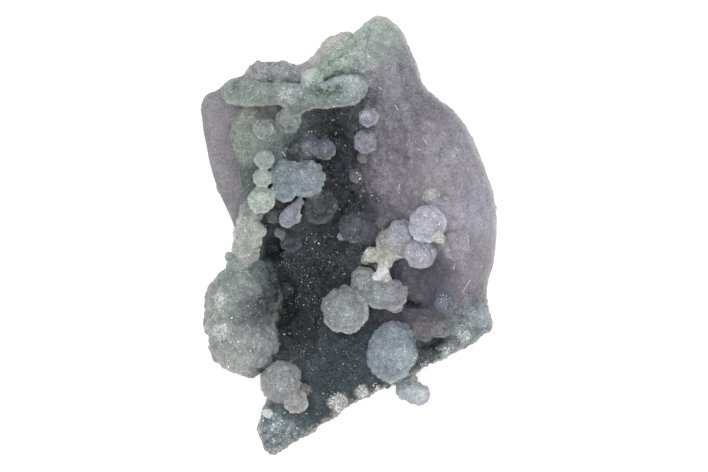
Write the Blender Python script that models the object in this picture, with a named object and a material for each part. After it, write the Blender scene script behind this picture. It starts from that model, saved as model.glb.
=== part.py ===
"""Grape agate: a plate of chalcedony with round beads grown on its front, lying on its back.

The plate lies along X and Y, and +Z points out of its beaded front. The origin is in the
middle of the specimen's length and width, on the flat cut that it rests on. Everything grew
as one piece, so plate, beads and fingers are joined into one solid.
"""

import math

import bmesh
import bpy
import numpy as np
from mathutils import Matrix, Vector, noise

# The specimen's real length, in metres, which drives its size. The shapes below are drawn in
# millimetres at about that size, and the joined skin is then scaled to this length exactly.
LENGTH = 0.088

BOWL_FLOOR = 8.0        # height of the plate's front where no hill lifts it
RIM_WALL = 1.2          # thickness left at a plate's very edge
CUT_DEPTH = 1.0         # how far the rough back reaches below the resting cut
FRONT_POWER = 2.0       # the front's rim is a quarter round
BACK_POWER = 1.2        # the back's rim is nearly a slant, as broken
BACK_REACH = 1.7        # widens the back's slant beyond the widths given with each edge
GRID_CELL = 1.0         # spacing of the points that shape a plate
GRAIN = 0.75            # size of the cells that join the shapes into one skin
SMOOTH_PASSES = 3
TRIANGLES = 9300        # of the finished solid
SLAB = 0.02             # thickness of the slab that cuts the back flat, in metres
STONE_COLOUR = (0.21, 0.21, 0.24)
STONE_ROUGHNESS = 0.42

# Edge of the plate, clockwise from the top: x, y, height of the rim's middle,
# and how far in from the edge the front and the back curve over.
PLATE_EDGE = [
    (6.1, 44.0, 7.0, 5.0, 7.0), (9.7, 41.8, 7.0, 5.5, 8.0), (11.7, 38.0, 7.0, 6.0, 8.0),
    (13.3, 33.8, 7.0, 6.0, 9.0), (14.7, 29.8, 7.0, 6.5, 9.0), (17.5, 27.4, 6.8, 7.0, 10.0),
    (20.7, 24.8, 6.4, 7.5, 10.0), (23.1, 21.8, 6.2, 8.0, 10.0), (24.9, 18.4, 6.0, 8.0, 10.0),
    (26.7, 14.2, 5.8, 8.0, 10.0), (28.7, 8.8, 5.6, 8.0, 10.0), (29.3, 3.6, 5.4, 8.0, 9.0),
    (29.2, -1.2, 5.4, 8.0, 9.0), (28.9, -5.4, 5.4, 7.5, 8.0), (27.9, -9.0, 5.2, 6.5, 7.0),
    (27.3, -13.6, 5.0, 5.0, 6.0), (28.3, -16.4, 5.0, 3.5, 4.5), (28.1, -18.6, 4.6, 1.8, 3.5),
    (25.5, -20.8, 4.4, 1.0, 3.0), (20.5, -23.4, 4.4, 0.8, 3.0), (15.7, -25.8, 4.4, 0.8, 3.0),
    (11.1, -28.8, 4.4, 0.8, 3.0), (4.9, -31.2, 4.4, 0.8, 3.0), (-1.9, -35.4, 4.4, 0.8, 3.0),
    (-6.7, -38.4, 4.2, 1.0, 3.0), (-10.9, -41.2, 4.0, 1.5, 3.0), (-13.9, -43.2, 4.0, 2.5, 3.5),
    (-15.7, -44.0, 4.0, 3.0, 4.0), (-17.5, -42.0, 4.2, 3.0, 4.0), (-18.1, -38.4, 4.2, 3.0, 4.0),
    (-17.2, -35.2, 4.2, 2.6, 4.0), (-16.3, -32.6, 4.4, 2.6, 4.0), (-17.4, -28.6, 4.4, 3.0, 5.0),
    (-20.0, -23.0, 4.6, 3.0, 6.0), (-20.6, -15.0, 4.6, 3.0, 6.0), (-18.8, -7.0, 4.6, 2.6, 6.0),
    (-17.6, -2.0, 4.6, 2.0, 5.0), (-18.2, 3.4, 5.2, 2.4, 5.0), (-20.3, 7.8, 6.0, 2.6, 5.0),
    (-21.6, 10.0, 6.4, 2.6, 6.0), (-21.7, 13.6, 6.6, 2.6, 6.0), (-22.5, 16.8, 6.6, 2.6, 6.0),
    (-23.5, 20.0, 6.6, 2.6, 6.0), (-23.9, 23.0, 6.8, 2.6, 6.0), (-23.0, 26.4, 7.0, 2.6, 6.0),
    (-18.0, 29.4, 7.2, 2.4, 6.0), (-10.0, 31.0, 7.4, 2.6, 6.0), (-4.6, 34.8, 7.4, 3.0, 6.0),
    (-1.2, 38.8, 7.4, 3.6, 6.0), (2.6, 42.0, 7.2, 4.4, 7.0),
]

# Edge of the low smooth leaf that looks out on the left, in the same terms.
LEAF_EDGE = [
    (-21.4, -3.0, 4.0, 2.0, 3.0), (-22.9, 1.8, 4.2, 2.0, 3.0), (-24.3, 5.4, 4.4, 2.2, 3.0),
    (-25.9, 8.4, 4.6, 2.2, 3.0), (-27.1, 12.0, 4.6, 2.4, 3.0), (-28.0, 15.7, 4.6, 2.4, 3.0),
    (-28.7, 19.3, 4.6, 2.4, 3.0), (-29.3, 23.0, 4.8, 2.4, 3.0), (-29.5, 26.2, 5.0, 2.4, 3.0),
    (-28.5, 28.6, 5.2, 2.4, 3.0), (-26.5, 29.6, 5.4, 2.4, 3.0), (-24.1, 31.4, 5.6, 2.4, 3.0),
    (-21.1, 32.2, 6.0, 2.6, 3.5), (-19.3, 33.9, 6.4, 2.8, 3.5), (-16.3, 34.4, 6.8, 3.0, 4.0),
    (-12.7, 34.7, 7.0, 3.0, 4.0), (-9.7, 34.0, 7.0, 3.0, 4.0), (-6.4, 33.6, 7.0, 3.0, 4.0),
    (0.0, 30.0, 6.0, 2.0, 4.0), (0.0, 14.0, 4.0, 2.0, 4.0), (-10.0, 2.0, 3.6, 2.0, 4.0),
]

# Hills and hollows of the plate's front: x, y, reach along and across, turn in degrees, height.
HILLS = [
    (20.0, 4.0, 12.0, 24.0, 8.0, 10.5),      # broad dome of the right flank
    (6.0, 36.0, 8.0, 9.0, 0.0, 7.0),         # rounded top
    (12.0, 24.0, 8.0, 8.0, 0.0, 2.5),        # saddle between top and dome
    (-16.0, 19.0, 7.5, 11.0, 0.0, 5.0),      # terrace of the upper left
    (-3.0, 25.0, 8.0, 5.0, 0.0, 1.5),
    (-3.6, 33.8, 9.0, 2.6, 44.0, 5.5),       # green ridge that slants up to the top
    (4.0, -28.0, 16.0, 7.0, 22.0, 1.4),      # swell along the broken edge
    (24.0, -15.0, 6.0, 6.0, 0.0, 2.0),
    (-8.0, -9.0, 9.0, 10.0, 0.0, -2.0),      # deepest part of the bowl
    (-3.0, 14.0, 5.0, 7.0, 0.0, -1.8),
    (-11.0, -19.0, 6.0, 5.0, 0.0, -1.4),
    (-16.4, -1.6, 2.2, 3.4, 0.0, -4.0),      # black hollow behind the left column
    (-13.8, 25.6, 3.6, 1.3, 0.0, -4.0),      # gap under the upper finger
    (16.8, -21.3, 2.6, 1.1, 15.0, -2.4),     # pocket near the broken edge
    (13.0, -14.4, 2.6, 0.9, 0.0, -2.0),
]

# Beads on the plate's front: x, y, radius, and how high the centre stands above the plate.
BEADS = [
    (-16.6, 15.0, 1.95, 1.4), (-16.9, 11.3, 1.9, 1.7), (-17.1, 7.0, 2.55, 2.0),
    (-12.7, 10.8, 2.8, 2.2), (-8.0, 11.1, 3.1, 3.0), (-4.6, 17.0, 1.9, 2.4),
    (-7.6, 17.9, 2.5, 1.2), (-5.8, 5.8, 3.3, 0.2), (-14.1, 0.7, 1.1, 3.0),
    (-11.6, -1.3, 2.1, 0.6), (-17.0, 21.5, 2.1, 0.6), (-12.7, 22.3, 2.3, 0.8),
    (3.9, 23.3, 1.8, 0.8), (3.3, 18.6, 2.1, 0.6), (1.2, 11.9, 1.2, 0.2), (5.5, 10.3, 1.7, -0.5),
    (20.0, 15.1, 2.2, -1.1), (16.0, 7.8, 1.6, 0.0), (18.8, 6.6, 1.4, -0.4),
    (15.4, 2.0, 3.6, 1.6), (17.7, -0.2, 1.8, 2.2), (14.2, -3.4, 3.0, 1.2),
    (20.9, -1.8, 2.9, -1.0), (10.5, 0.4, 2.9, 1.0), (7.1, -1.0, 2.3, 1.2),
    (1.3, 1.4, 3.3, 0.2), (-0.7, -14.8, 4.5, 4.2), (3.1, -9.2, 2.8, 2.6),
    (7.5, -11.8, 3.3, 2.4), (9.6, -14.2, 1.2, 1.2), (19.0, -13.2, 2.0, 0.4),
    (15.1, -18.9, 2.2, 0.2), (18.1, -18.7, 1.9, 0.5), (27.0, -16.6, 2.8, -1.0),
    (24.0, -19.4, 2.0, -0.6), (-9.4, -38.8, 1.6, -0.6), (-2.1, -33.4, 1.8, -0.1),
    (1.4, -31.8, 1.3, -0.2), (-16.2, -36.2, 1.3, 0.6), (6.6, -7.0, 1.5, 2.6),
    (-14.6, 3.4, 1.4, 1.4), (-22.2, 25.6, 1.9, 1.0), (-21.0, 19.6, 1.8, 0.2),
    (-20.4, 14.0, 1.6, 0.2),
]

# Lobes whose height doesn't come from the plate: x, y, z, radius.
FREE_LOBES = [
    (-21.7, -13.4, 7.6, 7.2), (-21.8, -21.2, 7.3, 7.0), (-21.6, -6.8, 7.0, 2.9),
    (-17.6, -7.8, 7.4, 3.0), (-13.7, -29.4, 8.2, 3.9), (-10.5, -33.4, 10.2, 2.4),
    (-19.4, 5.2, 9.6, 2.6), (-20.1, 2.4, 10.0, 2.7), (-19.9, -0.6, 10.0, 2.5),
    (-20.6, -3.6, 9.4, 2.5), (-23.5, -4.2, 8.4, 1.2), (11.2, -28.4, 4.4, 2.1),
    (12.1, -30.5, 4.8, 2.4), (14.4, -32.2, 4.5, 1.9), (-17.4, 31.6, 9.2, 2.7),
    (-13.4, 32.0, 9.8, 2.7), (-9.6, 31.4, 9.6, 2.6), (-2.6, 37.0, 10.0, 3.2),
    (0.6, 38.4, 10.6, 2.6), (-24.0, 28.8, 7.6, 2.5),
]

# The oval bead near the broken edge: centre, half-axes, and its turn about Z in degrees.
OVAL_CENTRE = (8.7, -23.2, 10.8)
OVAL_AXES = (4.7, 5.9, 4.7)
OVAL_TURN = -12.0

# Fingers, as x, y, z and radius along each: the long level one, the slanting one behind
# it, and two short ones in the bowl.
FINGERS = [
    [(-24.6, 29.2, 9.0, 2.4), (-20.0, 28.7, 12.0, 2.2), (-14.5, 28.4, 13.6, 2.2),
     (-8.6, 27.8, 14.2, 2.4), (-3.6, 27.9, 14.6, 2.2), (1.4, 28.6, 14.8, 2.3)],
    [(-9.4, 29.4, 12.4, 2.2), (-5.6, 32.4, 12.4, 2.4), (-1.6, 36.0, 12.4, 2.4)],
    [(-10.4, 7.4, 10.6, 1.2), (-11.2, 4.8, 11.4, 1.5), (-12.4, 2.3, 11.2, 1.8)],
    [(-15.2, -1.0, 3.4, 1.4), (-14.6, 0.6, 8.0, 1.2)],
]
FINGER_LUMPS = 0.22     # how much a finger's radius varies along it

SWELL_LENGTH = 9.0      # spacing of the uneven swells on every surface
SWELL_HEIGHT = 0.55


def smooth_path(points, closed, steps):
    """A smooth path through the points, as rows of an array, with steps rows between two of them."""
    rows = np.array(points)
    before = np.roll(rows, 1, axis=0)
    after = np.roll(rows, -1, axis=0)
    later = np.roll(rows, -2, axis=0)
    if not closed:
        before[0] = rows[0]
        after[-1] = rows[-1]
        later[-2:] = rows[-1]
    spans = len(rows) if closed else len(rows) - 1
    path = []
    for i in range(spans):
        for t in np.arange(steps) / steps:
            path.append(0.5 * (2 * rows[i] + (after[i] - before[i]) * t
                               + (2 * before[i] - 5 * rows[i] + 4 * after[i] - later[i]) * t ** 2
                               + (3 * rows[i] - before[i] - 3 * after[i] + later[i]) * t ** 3))
    if not closed:
        path.append(rows[-1])
    return np.array(path)


def swell(x, y, z):
    """Uneven swell of the stone at a place, in millimetres."""
    return SWELL_HEIGHT * noise.noise(Vector((x, y, z)) / SWELL_LENGTH)


def front_height(x, y):
    """Height of the plate's front at a place, before its rim curves over."""
    height = BOWL_FLOOR
    for hill_x, hill_y, along, across, turn, lift in HILLS:
        angle = math.radians(turn)
        dx = x - hill_x
        dy = y - hill_y
        u = (dx * math.cos(angle) + dy * math.sin(angle)) / along
        v = (dy * math.cos(angle) - dx * math.sin(angle)) / across
        height += lift * math.exp(-u * u - v * v)
    return height + swell(x, y, 0.0)


def leaf_height(x, y):
    """Height of the low leaf's front at a place, before its rim curves over."""
    return 7.0 + 0.05 * (y - 16.0) + swell(x, y, 20.0)


def rough_back(x, y):
    """Height of the back before it is cut flat."""
    return -CUT_DEPTH + 2.0 * swell(x, y, 40.0)


def nearest_on_loop(x, y, loop):
    """Distance in from the loop's edge, negative outside it, and the loop's own row there."""
    ends = np.roll(loop, -1, axis=0)
    step = ends - loop
    offset = np.array((x, y)) - loop[:, :2]
    share = (offset * step[:, :2]).sum(axis=1) / (step[:, :2] ** 2).sum(axis=1)
    share = np.clip(share, 0.0, 1.0)
    rows = loop + share[:, None] * step
    gaps = np.hypot(rows[:, 0] - x, rows[:, 1] - y)
    nearest = gaps.argmin()
    spans_y = (loop[:, 1] > y) != (ends[:, 1] > y)
    rise = np.where(step[:, 1] == 0.0, 1.0, step[:, 1])
    crossings = spans_y & (x < loop[:, 0] + step[:, 0] * (y - loop[:, 1]) / rise)
    inside = crossings.sum() % 2 == 1
    return gaps[nearest] if inside else -gaps[nearest], rows[nearest]


def curve_over(share, power):
    """Profile from 0 at the rim to 1 where the surface is level; power 2 is a quarter round."""
    share = min(max(share, 0.0), 1.0)
    return (1.0 - (1.0 - share) ** power) ** (1.0 / power)


def add_plate(bm, edge, top, bottom):
    """Adds a closed plate with the given edge, between the heights top(x, y) and bottom(x, y)."""
    loop = smooth_path(edge, True, 5)
    low = loop.min(axis=0)[:2] - GRID_CELL
    high = loop.max(axis=0)[:2] + GRID_CELL
    middle = (low + high) / 2.0
    count = np.ceil((high - low) / GRID_CELL).astype(int)
    reach = Matrix.Diagonal((*(count * GRID_CELL / 2.0), 1.0, 1.0))
    place = Matrix.Translation((*middle, 0.0)) @ reach
    plate = bmesh.new()
    bmesh.ops.create_grid(plate, x_segments=int(count[0]), y_segments=int(count[1]), size=1.0,
                          matrix=place)
    outside = [v for v in plate.verts if nearest_on_loop(v.co.x, v.co.y, loop)[0] < -GRID_CELL / 2]
    bmesh.ops.delete(plate, geom=outside, context='VERTS')
    for vert in [v for v in plate.verts if v.is_boundary]:
        row = nearest_on_loop(vert.co.x, vert.co.y, loop)[1]
        vert.co.x = row[0]
        vert.co.y = row[1]
    raised = bmesh.ops.extrude_face_region(plate, geom=plate.faces[:])
    tops = {item for item in raised['geom'] if isinstance(item, bmesh.types.BMVert)}
    for vert in plate.verts:
        x, y = vert.co.x, vert.co.y
        inward, (_, _, rim, front_round, back_round) = nearest_on_loop(x, y, loop)
        if vert in tops:
            rim += RIM_WALL / 2.0
            vert.co.z = rim + (top(x, y) - rim) * curve_over(inward / front_round, FRONT_POWER)
        else:
            rim -= RIM_WALL / 2.0
            vert.co.z = rim + (bottom(x, y) - rim) * curve_over(inward / (BACK_REACH * back_round), BACK_POWER)
    bmesh.ops.recalc_face_normals(plate, faces=plate.faces[:])
    spare = bpy.data.meshes.new("plate")
    plate.to_mesh(spare)
    plate.free()
    bm.from_mesh(spare)
    bpy.data.meshes.remove(spare)


def add_lobe(bm, centre, axes, turn=0.0):
    """Adds a round or oval lobe."""
    place = Matrix.Translation(centre) @ Matrix.Rotation(math.radians(turn), 4, 'Z')
    bmesh.ops.create_icosphere(bm, subdivisions=3, radius=1.0,
                               matrix=place @ Matrix.Diagonal((*axes, 1.0)))


def add_finger(bm, points):
    """Adds a finger as a close row of lobes along a smooth path."""
    for x, y, z, radius in smooth_path(points, False, 5):
        lumpy = radius * (1.0 + FINGER_LUMPS * noise.noise(Vector((x, y, z)) / radius))
        add_lobe(bm, (x, y, z), (lumpy, lumpy, lumpy))


def grown_shapes():
    """All the shapes that grew together, still overlapping, in one bmesh in millimetres."""
    bm = bmesh.new()
    add_plate(bm, PLATE_EDGE, front_height, rough_back)
    add_plate(bm, LEAF_EDGE, leaf_height, rough_back)
    for x, y, radius, lift in BEADS:
        add_lobe(bm, (x, y, front_height(x, y) + lift), (radius, radius, radius))
    for x, y, z, radius in FREE_LOBES:
        add_lobe(bm, (x, y, z), (radius, radius, radius))
    add_lobe(bm, OVAL_CENTRE, OVAL_AXES, OVAL_TURN)
    for finger in FINGERS:
        add_finger(bm, finger)
    return bm


def settled_mesh(thing):
    """The object's mesh with its modifiers applied, as a new mesh."""
    graph = bpy.context.evaluated_depsgraph_get()
    return bpy.data.meshes.new_from_object(thing.evaluated_get(graph))


def islands(bm):
    """The bmesh's vertices, grouped into connected sets."""
    left = set(bm.verts)
    groups = []
    while left:
        group = set()
        edge = [left.pop()]
        while edge:
            vert = edge.pop()
            group.add(vert)
            for link in vert.link_edges:
                other = link.other_vert(vert)
                if other in left:
                    left.discard(other)
                    edge.append(other)
        groups.append(group)
    return groups


def keep_outer_skin(mesh):
    """Removes every connected part but the largest, such as the skin of a sealed cavity."""
    bm = bmesh.new()
    bm.from_mesh(mesh)
    groups = sorted(islands(bm), key=len)
    spare = [vert for group in groups[:-1] for vert in group]
    bmesh.ops.delete(bm, geom=spare, context='VERTS')
    bm.to_mesh(mesh)
    bm.free()


def fit_to_length(mesh):
    """Scales the drawn mesh to the real length, with its middle over the origin."""
    places = np.array([vert.co[:] for vert in mesh.vertices])
    low = places.min(axis=0)
    high = places.max(axis=0)
    middle = (low + high) / 2.0
    mesh.transform(Matrix.Translation((-middle[0], -middle[1], 0.0)))
    mesh.transform(Matrix.Scale(LENGTH / (high[1] - low[1]), 4))


def stone_material():
    """Plain grey-purple chalcedony."""
    material = bpy.data.materials.new("chalcedony")
    material.use_nodes = True
    shader = material.node_tree.nodes["Principled BSDF"]
    shader.inputs["Base Color"].default_value = (*STONE_COLOUR, 1.0)
    shader.inputs["Roughness"].default_value = STONE_ROUGHNESS
    shader.inputs["Metallic"].default_value = 0.0
    return material


def joined_skin():
    """One skin round all the grown shapes, at its real size."""
    mesh = bpy.data.meshes.new("grown")
    bm = grown_shapes()
    bm.to_mesh(mesh)
    bm.free()
    draft = bpy.data.objects.new("draft", mesh)
    bpy.context.scene.collection.objects.link(draft)
    remesh = draft.modifiers.new("join", 'REMESH')
    remesh.mode = 'VOXEL'
    remesh.voxel_size = GRAIN
    smooth = draft.modifiers.new("smooth", 'SMOOTH')
    smooth.factor = 0.5
    smooth.iterations = SMOOTH_PASSES
    skin = settled_mesh(draft)
    bpy.data.objects.remove(draft)
    keep_outer_skin(skin)
    fit_to_length(skin)
    return skin


def resting_cutter():
    """A slab below the resting plane, wider than the specimen."""
    bm = bmesh.new()
    side = 2.0 * LENGTH
    place = Matrix.Translation((0.0, 0.0, -SLAB / 2.0))
    shape = place @ Matrix.Diagonal((side, side, SLAB, 1.0))
    bmesh.ops.create_cube(bm, size=1.0, matrix=shape)
    mesh = bpy.data.meshes.new("resting_cutter")
    bm.to_mesh(mesh)
    bm.free()
    cutter = bpy.data.objects.new("resting_cutter", mesh)
    cutter.display_type = 'WIRE'
    cutter.hide_render = True
    bpy.context.scene.collection.objects.link(cutter)
    return cutter


def build_agate():
    """The finished specimen, as one object."""
    skin = joined_skin()
    agate = bpy.data.objects.new("grape_agate", skin)
    bpy.context.scene.collection.objects.link(agate)
    skin.materials.clear()
    skin.materials.append(stone_material())
    triangulate = agate.modifiers.new("triangles", 'TRIANGULATE')
    triangulate.quad_method = 'BEAUTY'
    thin = agate.modifiers.new("fewer_triangles", 'DECIMATE')
    thin.ratio = TRIANGLES / (2.0 * len(skin.polygons))
    cut = agate.modifiers.new("resting_cut", 'BOOLEAN')
    cut.operation = 'DIFFERENCE'
    cut.solver = 'EXACT'
    cut.object = resting_cutter()
    skin.shade_smooth()
    return agate


def main():
    for thing in list(bpy.data.objects):
        bpy.data.objects.remove(thing)
    build_agate()


main()
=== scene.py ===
"""Looks of a grape agate: a drusy chalcedony plate with round beads, lying on its back.

The specimen is one stone. Its skin is rebuilt here at a fine grain in place of the frame's
plain solid, and the quartz crystals that coat it are real small shapes on that skin.
"""

import math

import bmesh
import bpy
import numpy as np
from bpy.props import FloatProperty, FloatVectorProperty, IntProperty, PointerProperty
from mathutils import Matrix, Vector, noise
from mathutils.bvhtree import BVHTree


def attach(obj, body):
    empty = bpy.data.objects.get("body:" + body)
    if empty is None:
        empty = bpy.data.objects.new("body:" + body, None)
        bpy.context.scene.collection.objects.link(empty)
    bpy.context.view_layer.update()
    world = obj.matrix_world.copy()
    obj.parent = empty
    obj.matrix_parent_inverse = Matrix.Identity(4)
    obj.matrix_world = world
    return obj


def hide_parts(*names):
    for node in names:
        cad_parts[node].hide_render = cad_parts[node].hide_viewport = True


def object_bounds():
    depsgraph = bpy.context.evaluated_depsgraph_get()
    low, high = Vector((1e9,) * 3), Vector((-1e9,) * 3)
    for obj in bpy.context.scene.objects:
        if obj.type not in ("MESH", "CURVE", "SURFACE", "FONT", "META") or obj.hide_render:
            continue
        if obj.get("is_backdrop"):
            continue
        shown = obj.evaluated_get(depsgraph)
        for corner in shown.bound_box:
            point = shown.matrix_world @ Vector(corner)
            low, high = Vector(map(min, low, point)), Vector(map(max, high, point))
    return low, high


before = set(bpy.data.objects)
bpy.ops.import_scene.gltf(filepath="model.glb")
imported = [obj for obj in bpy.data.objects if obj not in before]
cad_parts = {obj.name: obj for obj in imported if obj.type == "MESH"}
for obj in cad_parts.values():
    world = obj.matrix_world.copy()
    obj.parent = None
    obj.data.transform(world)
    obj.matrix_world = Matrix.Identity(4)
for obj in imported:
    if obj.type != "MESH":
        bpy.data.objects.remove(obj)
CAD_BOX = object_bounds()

bl_info = {
    "name": "Grape agate",
    "version": (1, 0, 0),
    "blender": (4, 5, 0),
    "location": "View3D > Sidebar > Agate",
    "description": "Builds the skin, crystals and stage of a grape agate specimen",
    "category": "Add Mesh",
}

NODE = "grape_agate"
BODY = "root"
STONE = "agate_skin"
MM = 0.001

# Shapes are drawn in millimetres: +X to the domed flank, +Y to the rounded top, +Z out of
# the beaded front. The finished skin is then fitted to the frame's box.

BOWL_FLOOR = 8.0        # height of the plate's front where no hill lifts it
RIM_WALL = 1.2          # thickness left at a plate's very edge
CUT_DEPTH = 1.0         # how far the rough back reaches below the resting cut
FRONT_POWER = 2.0       # the front's rim is a quarter round
BACK_POWER = 1.2        # the back's rim is nearly a slant, as broken
BACK_REACH = 1.7        # widens the back's slant beyond the widths given with each edge
SWELL_LENGTH = 9.0      # spacing of the uneven swells on every surface
SWELL_HEIGHT = 0.55
BROKEN_ROUND = 1.4      # an edge that curves over in less than this is a break
BEAD_FADE = 2.5         # how far from a bead's surface its colour still counts
LIT_FOOT_SIDE = (0.25, -0.6)    # the side on which a bead's foot is painted pale, as rim light through its thin edge
LIT_FOOT_SPREAD = 0.55          # how much of that painted rim light goes all round
EDGE_STEPS = 5          # rows between two points of an edge
FINGER_STEPS = 4        # rows between two points of a finger
PLATE_CELL = 0.6        # grid of the plates before all shapes grow together
LEAF_LEVEL = 7.0        # height of the leaf's front at its middle, and its slope up the stone
LEAF_SLOPE = 0.05
LEAF_MIDDLE = 16.0
LEAF_CORNER = (-4.0, -4.0)  # the leaf shows only to the left of this place and above it
SWELL_LEAF = 20.0       # level of the swell's noise for the leaf, and for the back
SWELL_BACK = 40.0
SMALL_BEAD = 1.9        # radius of the largest small bead
SMALL_BEAD_X = (-24.0, 29.0)    # where the small beads are drawn
SMALL_BEAD_Y = (-43.0, 43.0)
SMALL_BEAD_INSET = 2.0  # how far in from the plate's edge they keep
LUMPED_RADIUS = 1.4     # beads larger than this carry lumps
LUMP_SIZES = (0.22, 0.42)   # radius of a lump, as a share of its bead's
LUMP_REACH = (1.0, 1.10)    # how far a lump reaches out, in the same terms

# Bumps of the skin: how far apart, how high, and where in the noise they are drawn.
SKIN_LUMPS = ((3.4, 0.35, 7.0), (1.3, 0.16, 3.0))
HACKLES = ((3.0, 0.9, 5.0), (1.2, 0.45, 9.0))
HACKLE_CELLS = 0.45     # height of the facets on broken stone, and how far its face lies in
HACKLE_DEPTH = 0.5

# How strongly one colour shows over another, as shares.
BEAD_SHARE = 0.8        # a bead's own colour over the ground's
LIT_FOOT_SHARE = 0.85       # painted rim light on a bead's foot
THIN_SHARE = 0.3        # light through the plate's thin rim
RIM_SHARE = 0.35        # white rim of the broken edge
FROST_AND_HIGHLIGHT_SHARE = 0.65      # white of the frosted places, partly painted highlight

TINT_WANDER = (0.8, 2.0)    # how far the edges of patches wander, and over what length
GROUND_WANDER = (1.6, 4.0)  # the same for the ground's colours

MOST_TRIANGLES = 190000     # in one mesh of crystals
MAP_MARGIN = 1.04       # span of the crystals' map, as a share of the frame's longest side

# Edge of the plate, clockwise from the top: x, y, height of the rim's middle,
# and how far in from the edge the front and the back curve over.
PLATE_EDGE = [
    (6.1, 44.1, 7.0, 5.0, 7.0), (10.0, 41.9, 7.0, 5.5, 8.0), (12.1, 38.1, 7.0, 6.0, 8.0),
    (13.7, 33.8, 7.0, 6.0, 9.0), (15.0, 30.0, 7.0, 6.5, 9.0), (17.7, 27.6, 6.8, 7.0, 10.0),
    (21.0, 25.1, 6.4, 7.5, 10.0), (23.4, 22.1, 6.2, 8.0, 10.0), (25.3, 18.5, 6.0, 8.0, 10.0),
    (27.0, 14.3, 5.8, 8.0, 10.0), (29.0, 8.8, 5.6, 8.0, 10.0), (29.7, 3.6, 5.4, 8.0, 9.0),
    (29.6, -1.2, 5.4, 8.0, 9.0), (29.2, -5.4, 5.4, 7.5, 8.0), (28.2, -9.0, 5.2, 6.5, 7.0),
    (27.6, -13.6, 5.0, 5.0, 6.0), (28.7, -16.4, 5.0, 3.5, 4.5), (28.5, -18.7, 4.6, 1.8, 3.5),
    (25.8, -21.1, 4.4, 1.0, 3.0), (20.8, -24.1, 4.4, 0.8, 3.0), (16.0, -26.4, 4.4, 0.8, 3.0),
    (11.6, -29.2, 4.4, 0.8, 3.0), (5.1, -31.9, 4.4, 0.8, 3.0), (-1.5, -35.7, 4.4, 0.8, 3.0),
    (-6.2, -39.0, 4.2, 1.0, 3.0), (-10.7, -41.5, 4.0, 1.5, 3.0), (-13.9, -43.2, 4.0, 2.5, 3.5),
    (-15.7, -44.0, 4.0, 3.0, 4.0), (-17.5, -42.0, 4.2, 3.0, 4.0), (-18.1, -38.4, 4.2, 3.0, 4.0),
    (-17.2, -35.2, 4.2, 2.6, 4.0), (-16.3, -32.6, 4.4, 2.6, 4.0), (-17.4, -28.6, 4.4, 3.0, 5.0),
    (-20.0, -23.0, 4.6, 3.0, 6.0), (-20.6, -15.0, 4.6, 3.0, 6.0), (-18.8, -7.0, 4.6, 2.6, 6.0),
    (-17.6, -2.0, 4.6, 2.0, 5.0), (-18.2, 3.4, 5.2, 2.4, 5.0), (-20.3, 7.8, 6.0, 2.6, 5.0),
    (-21.2, 10.0, 6.4, 2.6, 6.0), (-21.0, 13.8, 6.6, 2.6, 6.0), (-21.8, 16.8, 6.6, 2.6, 6.0),
    (-22.7, 20.0, 6.6, 2.6, 6.0), (-22.0, 23.2, 6.8, 2.6, 6.0), (-20.2, 25.8, 7.0, 2.6, 6.0),
    (-18.0, 29.4, 7.2, 2.4, 6.0), (-10.0, 31.0, 7.4, 2.6, 6.0), (-5.2, 34.9, 7.4, 3.0, 6.0),
    (-1.2, 38.6, 7.4, 3.6, 6.0), (2.6, 41.8, 7.2, 4.4, 7.0),
]

# Edge of the low smooth leaf that looks out on the left, in the same terms.
LEAF_EDGE = [
    (-21.4, -3.0, 4.0, 2.0, 3.0), (-23.1, 1.8, 4.2, 2.0, 3.0), (-24.6, 5.4, 4.4, 2.2, 3.0),
    (-26.0, 8.4, 4.6, 2.2, 3.0), (-27.3, 12.0, 4.6, 2.4, 3.0), (-28.2, 15.7, 4.6, 2.4, 3.0),
    (-28.9, 19.3, 4.6, 2.4, 3.0), (-29.5, 23.0, 4.8, 2.4, 3.0), (-29.7, 26.2, 5.0, 2.4, 3.0),
    (-28.5, 28.4, 5.2, 2.4, 3.0), (-26.4, 29.2, 5.4, 2.4, 3.0), (-24.1, 31.2, 5.6, 2.4, 3.0),
    (-21.1, 32.2, 6.0, 2.6, 3.5), (-19.6, 34.2, 6.4, 2.8, 3.5), (-16.3, 34.8, 6.8, 3.0, 4.0),
    (-12.7, 34.7, 7.0, 3.0, 4.0), (-9.7, 34.0, 7.0, 3.0, 4.0), (-6.4, 33.6, 7.0, 3.0, 4.0),
    (0.0, 30.0, 6.0, 2.0, 4.0), (0.0, 14.0, 4.0, 2.0, 4.0), (-10.0, 2.0, 3.6, 2.0, 4.0),
]

# Hills and hollows of the plate's front: x, y, reach along and across, turn in degrees, height.
HILLS = [
    (20.0, 4.0, 12.0, 24.0, 8.0, 10.5),      # broad dome of the right flank
    (6.0, 36.0, 8.0, 9.0, 0.0, 7.0),         # rounded top
    (12.0, 24.0, 8.0, 8.0, 0.0, 2.5),        # saddle between top and dome
    (-16.0, 19.0, 7.5, 11.0, 0.0, 5.0),      # terrace of the upper left
    (-3.0, 25.0, 8.0, 5.0, 0.0, 1.5),
    (-3.6, 33.8, 9.0, 2.6, 44.0, 5.5),       # green ridge that slants up to the top
    (4.0, -28.0, 16.0, 7.0, 22.0, 1.4),      # swell along the broken edge
    (24.0, -15.0, 6.0, 6.0, 0.0, 2.0),
    (-8.0, -9.0, 9.0, 10.0, 0.0, -2.0),      # deepest part of the bowl
    (-3.0, 14.0, 5.0, 7.0, 0.0, -1.8),
    (-11.0, -19.0, 6.0, 5.0, 0.0, -1.4),
    (-14.0, -13.5, 3.4, 4.0, 0.0, 3.4),      # foot of the largest lobe
    (1.0, 32.2, 4.5, 2.6, 20.0, 1.4),        # ground between the two fingers
    (-15.8, -1.8, 2.5, 3.8, 0.0, -3.8),      # black hollow behind the left column
    (-15.6, 24.6, 3.6, 1.5, 0.0, -2.0),      # gap under the upper finger
    (16.8, -21.3, 2.6, 1.1, 15.0, -2.4),     # pocket near the broken edge
    (13.2, -13.8, 3.2, 0.35, -6.0, -2.4),    # crack above it
]

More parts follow.
